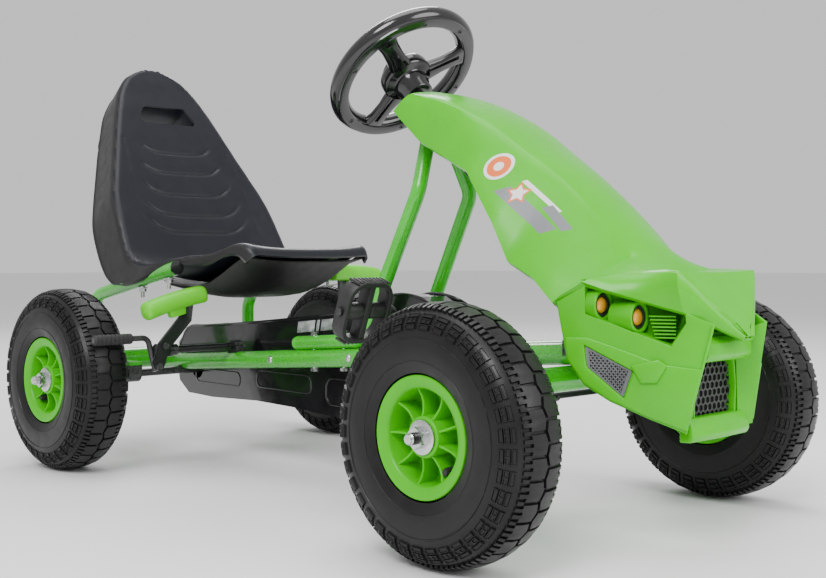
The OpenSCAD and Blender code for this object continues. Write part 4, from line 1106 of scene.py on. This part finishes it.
def build_nose():
    """Front face of the bumper: surround of the grille, cheeks, bars, honeycomb and floor."""
    face = frame_along((147, 0, 0), X, Y)      # local X is +Y, local Y is +Z, local Z is forward
    outline = [(-46, 119), (46, 119), (44, 226), (-44, 226)]
    hole = [(-38, 138), (-40, 168), (-36, 198), (36, 198), (40, 168), (38, 138)]
    shape = plate(outline, [hole], -3, 0, face)
    # Deep reveal of the grille opening
    wide = shrink(hole, -0.05)
    rows = rings((wide, 1), (hole, 1), (shrink(hole, 0.04), -9), (wide, -9))
    shape.grid(rows, close_rows=True, close_cols=True, place=face)
    shell_piece("nose_surround", shape, ["bumper_shell"], bevel=0.8)
    # Slanting cheeks from the opening out to the front edge of each side wall
    cheeks = Shape()
    foot, top = Vector((154, 63, 127)), Vector((178, 51.5, 236))
    for side in (LEFT, RIGHT):
        outer = [foot.lerp(top, t) for t in (0, 0.2, 0.65, 1)]
        inner = [Vector(p) for p in ((147, 44, 122), (147, 43, 148), (147, 41, 198), (152, 42, 226))]
        between = [a.lerp(b, 0.5) + Vector((-2, 0, 0)) for a, b in zip(outer, inner)]
        cheeks.grid([[(p.x, side * p.y, p.z) for p in line] for line in (outer, between, inner)])
    shell_piece("nose_cheeks", cheeks, solid=2.4, bevel=0.6, segments=2)
    lip = Shape()
    lip.grid([[(x, y, z) for x, z in ((140, 116), (156 - abs(y) * 0.05, 117), (160 - abs(y) * 0.06, 123),
                                      (157 - abs(y) * 0.06, 134), (151, 141), (140, 141))]
              for y in (-55, -30, 0, 30, 55)], close_cols=True, caps=True)
    block = ((140, 197), (161, 197), (166, 203), (165, 217), (159, 223), (140, 223))
    lip.grid([[(x, y, z) for x, z in block] for y in (-43, -20, 0, 20, 43)], close_cols=True, caps=True)
    shell_piece("nose_bars", lip, bevel=1.8)
    # Honeycomb behind the opening
    comb = Shape()
    pitch = 8.6
    corners = [math.radians(60 * k) for k in range(6)]
    for i in range(-6, 7):
        for j in range(-2, 9):
            y = (i + (0.5 if j % 2 else 0)) * pitch
            z = 148 + j * pitch * 0.866
            if abs(y) > 41:
                continue
            rows = []
            for share, h in ((0.577, -8), (0.577, -5.4), (0.43, -5.4), (0.40, -8)):
                r = pitch * share
                rows.append([(y + r * math.sin(a), z + r * math.cos(a), h) for a in corners])
            comb.grid(rows, close_rows=True, close_cols=True, place=face)
    comb.prism([(-42, 134), (42, 134), (42, 202), (-42, 202)], -12, -11, face)
    piece("nose_honeycomb", comb, MESH_BLACK, "frame", "mesh_plastic", ["grille_meshes"], sharp=30)
    # Hidden behind the panels: floor between both walls
    floor = Shape()
    floor.grid([[(x, s * (y - 6), z) for s in (-1, -0.33, 0.33, 1)] for x, y, z in
                ((62, 104, 178), (85, 94, 160), (119, 74, 143), (146, 62, 130))])
    shell_piece("bumper_floor", floor, ["headlights"], solid=2.0, bevel=0.4, segments=2)


build_nose()

# ------------------------------------------------------------------ pedals

CRANK_AXIS = (-284, 148)
CRANK_LEAN, CRANK_LEN, PEDAL_Y = math.radians(23), 100, 137
PEDAL_TILT = math.radians(20)


def build_pedal(label, side):
    """Cage with a toothed rim, a spindle tube, a centre bar and four windows."""
    centre = Vector((CRANK_AXIS[0] - side * CRANK_LEN * math.sin(CRANK_LEAN), side * PEDAL_Y,
                     CRANK_AXIS[1] - side * CRANK_LEN * math.cos(CRANK_LEAN)))
    tilted = Matrix.Translation(centre) @ Matrix.Rotation(PEDAL_TILT, 4, "Y")
    place = tilted @ frame_along((0, 0, 0), X, Y)
    shape = Shape()
    half_l, half_h, t = 35, 38.5, 10.5
    outer = rounded_rect(half_l, half_h, 22, 10)
    inner = rounded_rect(half_l - 5.5, half_h - 5.5, 17, 10)
    eased = [(x * 0.985, y * 0.985) for x, y in outer]
    rows = rings((outer, -t + 1), (outer, t - 1), (eased, t), (inner, t), (inner, -t), (eased, -t))
    shape.grid(rows, close_rows=True, close_cols=True, place=place)
    for sign in (-1, 1):
        for k in range(9):
            x, low, tip = -24 + k * 6, sign * 36.5, sign * 39.6
            tooth = [(x - 1.6, low), (x + 1.6, low), (x + 1.1, tip), (x - 1.1, tip)]
            shape.prism(tooth[::sign], -t + 1.2, t - 1.2, place)
    shape.prism(rounded_rect(4.2, half_h - 4, 2, 3), -t + 1.5, t - 1.5, place)
    piece(f"{label}_pedal_cage", shape, MESH_BLACK, f"{label}_pedal", "mesh_plastic",
          [f"{label}_pedal"], bevel=0.7, segments=2)
    core = Shape()
    core.lathe([(6.0, -34.5), (9.4, -34.5), (10.2, -33.5), (10.2, -8), (8.6, -6.5), (8.6, 6.5),
                (10.2, 8), (10.2, 33.5), (9.4, 34.5), (6.0, 34.5)],
               tilted @ frame_along((0, 0, 0), Y, X), steps=40, closed=True)
    piece(f"{label}_pedal_spindle_tube", core, MESH_BLACK, f"{label}_pedal", "mesh_plastic", sharp=40)


for label, side in SIDES.items():
    build_pedal(label, side)

# ------------------------------------------------------------------ brakes

GRIPS = {"left": ((-602, 165, 280), 3), "right": ((-609, 167, 242), 14)}
GRIP_D, GRIP_LEN = 27, 104
GRIP_ROUND = 0.78    # below 1, the section is squarer than an ellipse
SHOE = Vector((-626.5, 0, 192))


def build_brake(label, side):
    (x, y, z), droop = GRIPS[label]
    a = math.radians(droop)
    out = Vector((0, side * math.cos(a), -math.sin(a)))
    up = Vector((0, side * math.sin(a), math.cos(a)))
    place = Matrix((out, up.cross(out) * -1, up)).transposed().to_4x4()
    place = Matrix.Translation((x, side * y, z)) @ place
    grip = Shape()
    rows = []
    half = GRIP_LEN / 2
    for k in range(49):
        t = -1 + k / 24
        end = max(0.0, (abs(t) - 0.86) / 0.14)
        size = math.sqrt(max(0.0, 1 - end ** 2.4)) if end else 1.0
        bow = 3.0 * (1 - t * t) - 1.6
        wide = GRIP_D / 2 * (0.97 + 0.03 * t * t) * max(size, 0.02)
        tall = GRIP_D / 2 * 0.94 * max(size, 0.02)
        row = []
        for j in range(32):
            b = 2 * math.pi * j / 32
            c, s = math.cos(b), math.sin(b)
            row.append((t * half, wide * math.copysign(abs(c) ** GRIP_ROUND, c),
                        bow + tall * math.copysign(abs(s) ** GRIP_ROUND, s)))
        rows.append(row)
    grip.grid(rows, close_cols=True, caps=True, place=place)
    # Socket that takes the lever
    rows = []
    for h, grow in ((-6, 1.0), (-14, 1.0), (-19, 0.94), (-20, 0.86)):
        rows.append([(u * grow, v * grow, h) for u, v in rounded_rect(13, 6.5, 3, 4)])
    grip.grid(rows, close_cols=True, caps=True, place=place)
    piece(f"{label}_grip", grip, GRIP, f"{label}_brake", "grip_plastic", [f"{label}_brake_grip"],
          sharp=45)
    sleeve = Shape()
    r, far = 7.4, 226
    profile = [(4.1, far), (6.2, far), (7.2, far + 1)]
    while far < 278:
        profile += [(r, far + 2), (r, far + 6), (r - 0.8, far + 6.6), (r - 0.8, far + 7.4)]
        far += 6.6
    profile += [(r, 282), (6.0, 284), (4.1, 284)]
    sleeve.lathe(profile, frame_along(SHOE, Vector((0, side, 0)), X), steps=40, closed=True)
    piece(f"{label}_shoe_sleeve", sleeve, SLEEVE, f"{label}_brake", "sleeve_rubber",
          [f"{label}_brake_sleeve"], sharp=35)


for label, side in SIDES.items():
    build_brake(label, side)

# ------------------------------------------------------------------ chain case, chain and frame trim


def build_case_trim():
    """Split line, pressed panels and a plain silver strip on both sides of the case."""
    trim = Shape()
    for side in (LEFT, RIGHT):
        for x0, x1, z0, z1, r in ((-760, -640, 108, 132, 10), (-600, -470, 112, 140, 10),
                                  (-440, -330, 100, 140, 14)):
            cx, cz = (x0 + x1) / 2, (z0 + z1) / 2
            loop = rounded_rect((x1 - x0) / 2, (z1 - z0) / 2, r, 5)
            inner = rounded_rect((x1 - x0) / 2 - 3, (z1 - z0) / 2 - 3, r - 2, 5)
            rows = [[(cx + u, side * y, cz + v) for u, v in shape] for shape, y in
                    ((loop, 30.4), (loop, 31.8), (inner, 31.8), (inner, 30.4))]
            trim.grid(rows, close_rows=True, close_cols=True)
    piece("case_ribs", trim, GLOSS_BLACK, "frame", "black_plastic", bevel=0.5, segments=2)
    rim = Shape()
    top = [(-805, 165), (-782, 194), (-730, 199), (-609, 208), (-421, 226), (-372, 234),
           (-336, 246), (-300, 256), (-262, 254), (-225, 240), (-196, 205), (-188, 166)]
    line = evenly(spline([Vector((x, 0, z)) for x, z in top], 6), 60)
    for side in (LEFT, RIGHT):
        rim.tube([p + Vector((0, side * 29.6, 0)) for p in line], 2.4, steps=10, up=Y)
    piece("case_edges", rim, GLOSS_BLACK, "frame", "black_plastic")
    seam = Shape()
    for side in (LEFT, RIGHT):
        low, high = side * 30.5, side * 32.4
        seam.grid([[(x, low, z - 2.6), (x, high, z - 2.2), (x, high, z + 2.2), (x, low, z + 2.6)]
                   for x, z in ((-806, 139.2), (-192, 169.0))], close_cols=True, caps=True)
    piece("case_seam", seam, GLOSS_BLACK, "frame", "black_plastic", bevel=0.6, segments=2)
    strip = Shape()
    for side in (LEFT, RIGHT):
        for x0, x1 in ((-500, -462), (-458, -452), (-448, -400)):
            rows = []
            for x in (x0, x1):
                z = 208 + (x + 609) * 18 / 188
                low, high = side * 30.8, side * 31.5
                rows.append([(x - 3, low, z - 21), (x, low, z - 5), (x, high, z - 5), (x - 3, high, z - 21)])
            strip.grid(rows, close_cols=True, caps=True)
    piece("case_strip", strip, SILVER, "frame", "black_plastic", bevel=0.15, segments=1)


build_case_trim()

RAIL_Y, RAIL_R, UPRIGHT_R = 54, 12.5, 9.5
RAIL_RISE = 0.073
SEAT_BOLT_X, SEAT_TUBE_Y, SEAT_TUBE_R = (-722, -650), 150, 10.5


def rail_z(x):
    """Height of a main rail's middle line."""
    return 198 + RAIL_RISE * x


def seat_tube_z(x):
    """Height of a seat tube's middle line."""
    return 290 + (x + 630) * 46 / 238


def build_frame_trim():
    ends, screws, studs = Shape(), Shape(), Shape()
    for side in (LEFT, RIGHT):
        # Closed, rounded rear ends of the uprights' feet
        foot = Vector((-472, side * RAIL_Y, rail_z(-472) + RAIL_R + UPRIGHT_R))
        back = Vector((-1, 0, -RAIL_RISE)).normalized()
        ends.lathe([(0.95 * UPRIGHT_R, -5), (UPRIGHT_R + 0.12, -4), (UPRIGHT_R + 0.12, 0),
                    (UPRIGHT_R * 0.92, 3.4), (UPRIGHT_R * 0.68, 6.2), (UPRIGHT_R * 0.36, 7.8), (0.4, 8.2)],
                   frame_along(foot, back), steps=40)
        for x in (-520, -352):
            at = Vector((x, side * (RAIL_Y + RAIL_R - 0.3), rail_z(x)))
            screws.lathe([(5.2, 0), (5.2, 0.6), (4.4, 1.9), (2.8, 2.6), (1.3, 2.7), (1.2, 1.6), (0.3, 1.5)],
                         frame_along(at, Vector((0, side, 0))), steps=28)
        for x in SEAT_BOLT_X:
            z = seat_tube_z(x) - SEAT_TUBE_R
            under = frame_along(Vector((x, side * SEAT_TUBE_Y, z)), -Z)
            studs.lathe([(3.4, 0), (7.2, 0.2), (7.4, 1.4), (3.6, 1.6)], under, steps=28)
    piece("foot_ends", ends, FRAME_PAINT, "frame", "frame_paint", sharp=60)
    piece("rail_screws", screws, ZINC, "frame", "zinc", sharp=40)
    piece("seat_washers", studs, ZINC, "frame", "zinc", sharp=40)


build_frame_trim()


def build_seat_studs():
    """Ends of the seat's bolts below the tubes, each with its nut."""
    studs = Shape()
    hexagon = [(5.6 * math.cos(a), 5.6 * math.sin(a)) for a in [math.radians(60 * k) for k in range(6)]]
    for side in (LEFT, RIGHT):
        for x in SEAT_BOLT_X:
            place = Matrix.Translation((x, side * SEAT_TUBE_Y, seat_tube_z(x)))
            studs.lathe([(0.2, -26.5), (2.5, -26.5), (3.0, -26), (3.0, -9), (0.2, -9)], place, steps=24)
            studs.prism(hexagon, -18, -13, place)
    piece("seat_studs", studs, ZINC, "frame", "zinc", ["seat_bolts"], sharp=30)


build_seat_studs()

# ------------------------------------------------------------------ carried-over CAD nodes

FINISHES = {
    FRAME_PAINT: ["left_rail", "right_rail", "rear_cross_tube", "front_beam", "left_seat_tube",
                  "right_seat_tube", "left_upright", "right_upright", "steering_head",
                  "crank_bearings"],
    GLOSS_BLACK: ["head_bushes", "tube_plugs", "chain_case_upper", "chain_case_lower"],
    METAL_BLACK: ["steering_column", "left_knuckle", "right_knuckle", "left_tie_rod",
                  "right_tie_rod", "rear_axle", "rear_sprocket", "rear_axle_blocks", "crank",
                  "chainring", "brake_pivots", "left_brake_lever", "right_brake_lever",
                  "hood_bracket"],
    ZINC: ["frame_bolts", "kingpins", "front_left_bearings", "front_right_bearings",
           "rear_left_bearings", "rear_right_bearings", "chain"],
}
for finish, names in FINISHES.items():
    for name in names:
        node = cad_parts[name]
        node.data.materials.clear()
        node.data.materials.append(finish)
        node.data.shade_smooth()
        node.data.set_sharp_from_angle(angle=math.radians(30))

# ------------------------------------------------------------------ camera, light and floor

CAMERA_AT = kart(774.9, -1053.1, 297.5)
CAMERA_YAW, CAMERA_PITCH, CAMERA_ROLL = math.radians(136.30), math.radians(-0.598), math.radians(0.1)


def build_stage():
    cam = bpy.data.cameras.new("camera")
    cam.lens, cam.sensor_width = 49.81, 36
    cam.shift_x, cam.shift_y = 0.0181, -0.0174
    cam.clip_start = 0.05
    obj = bpy.data.objects.new("camera", cam)
    bpy.context.collection.objects.link(obj)
    look = Vector((math.cos(CAMERA_PITCH) * math.cos(CAMERA_YAW),
                   math.cos(CAMERA_PITCH) * math.sin(CAMERA_YAW), math.sin(CAMERA_PITCH)))
    right = look.cross(Z).normalized()
    up = right.cross(look)
    obj.matrix_world = Matrix.Translation(CAMERA_AT) @ Matrix((right, up, -look)).transposed().to_4x4()
    bpy.context.scene.camera = obj

    def lamp(name, at, size, power, target=(0, 0, 0.25), colour=(1, 1, 1)):
        data = bpy.data.lights.new(name, "AREA")
        data.shape, data.size, data.energy, data.color = "DISK", size, power, colour
        light = bpy.data.objects.new(name, data)
        bpy.context.collection.objects.link(light)
        light.location = at
        light.rotation_euler = (Vector(target) - Vector(at)).to_track_quat("-Z", "Y").to_euler()

    lamp("key", (1.3, -2.3, 2.6), 1.6, 95)
    lamp("fill", (2.6, 0.6, 1.5), 1.8, 45)
    lamp("back", (-2.0, 1.6, 2.4), 1.4, 50)
    lamp("top", (0.0, 0.0, 3.2), 2.2, 42)

    world = bpy.data.worlds.new("studio")
    world.use_nodes = True
    bpy.context.scene.world = world
    background = world.node_tree.nodes["Background"]
    background.inputs["Color"].default_value = (1.0, 1.0, 1.0, 1)
    background.inputs["Strength"].default_value = 0.80

    floor = Shape().grid([[(-30, -30, 0), (-30, 30, 0)], [(30, -30, 0), (30, 30, 0)]])
    mat = surface("floor_paper", (0.80, 0.80, 0.80), (0.82, 0.82, 0.82), (0.75, 0.85), 3.0, 0.02, patch=600)
    make("floor", floor, mat)


build_stage()
bpy.context.view_layer.update()
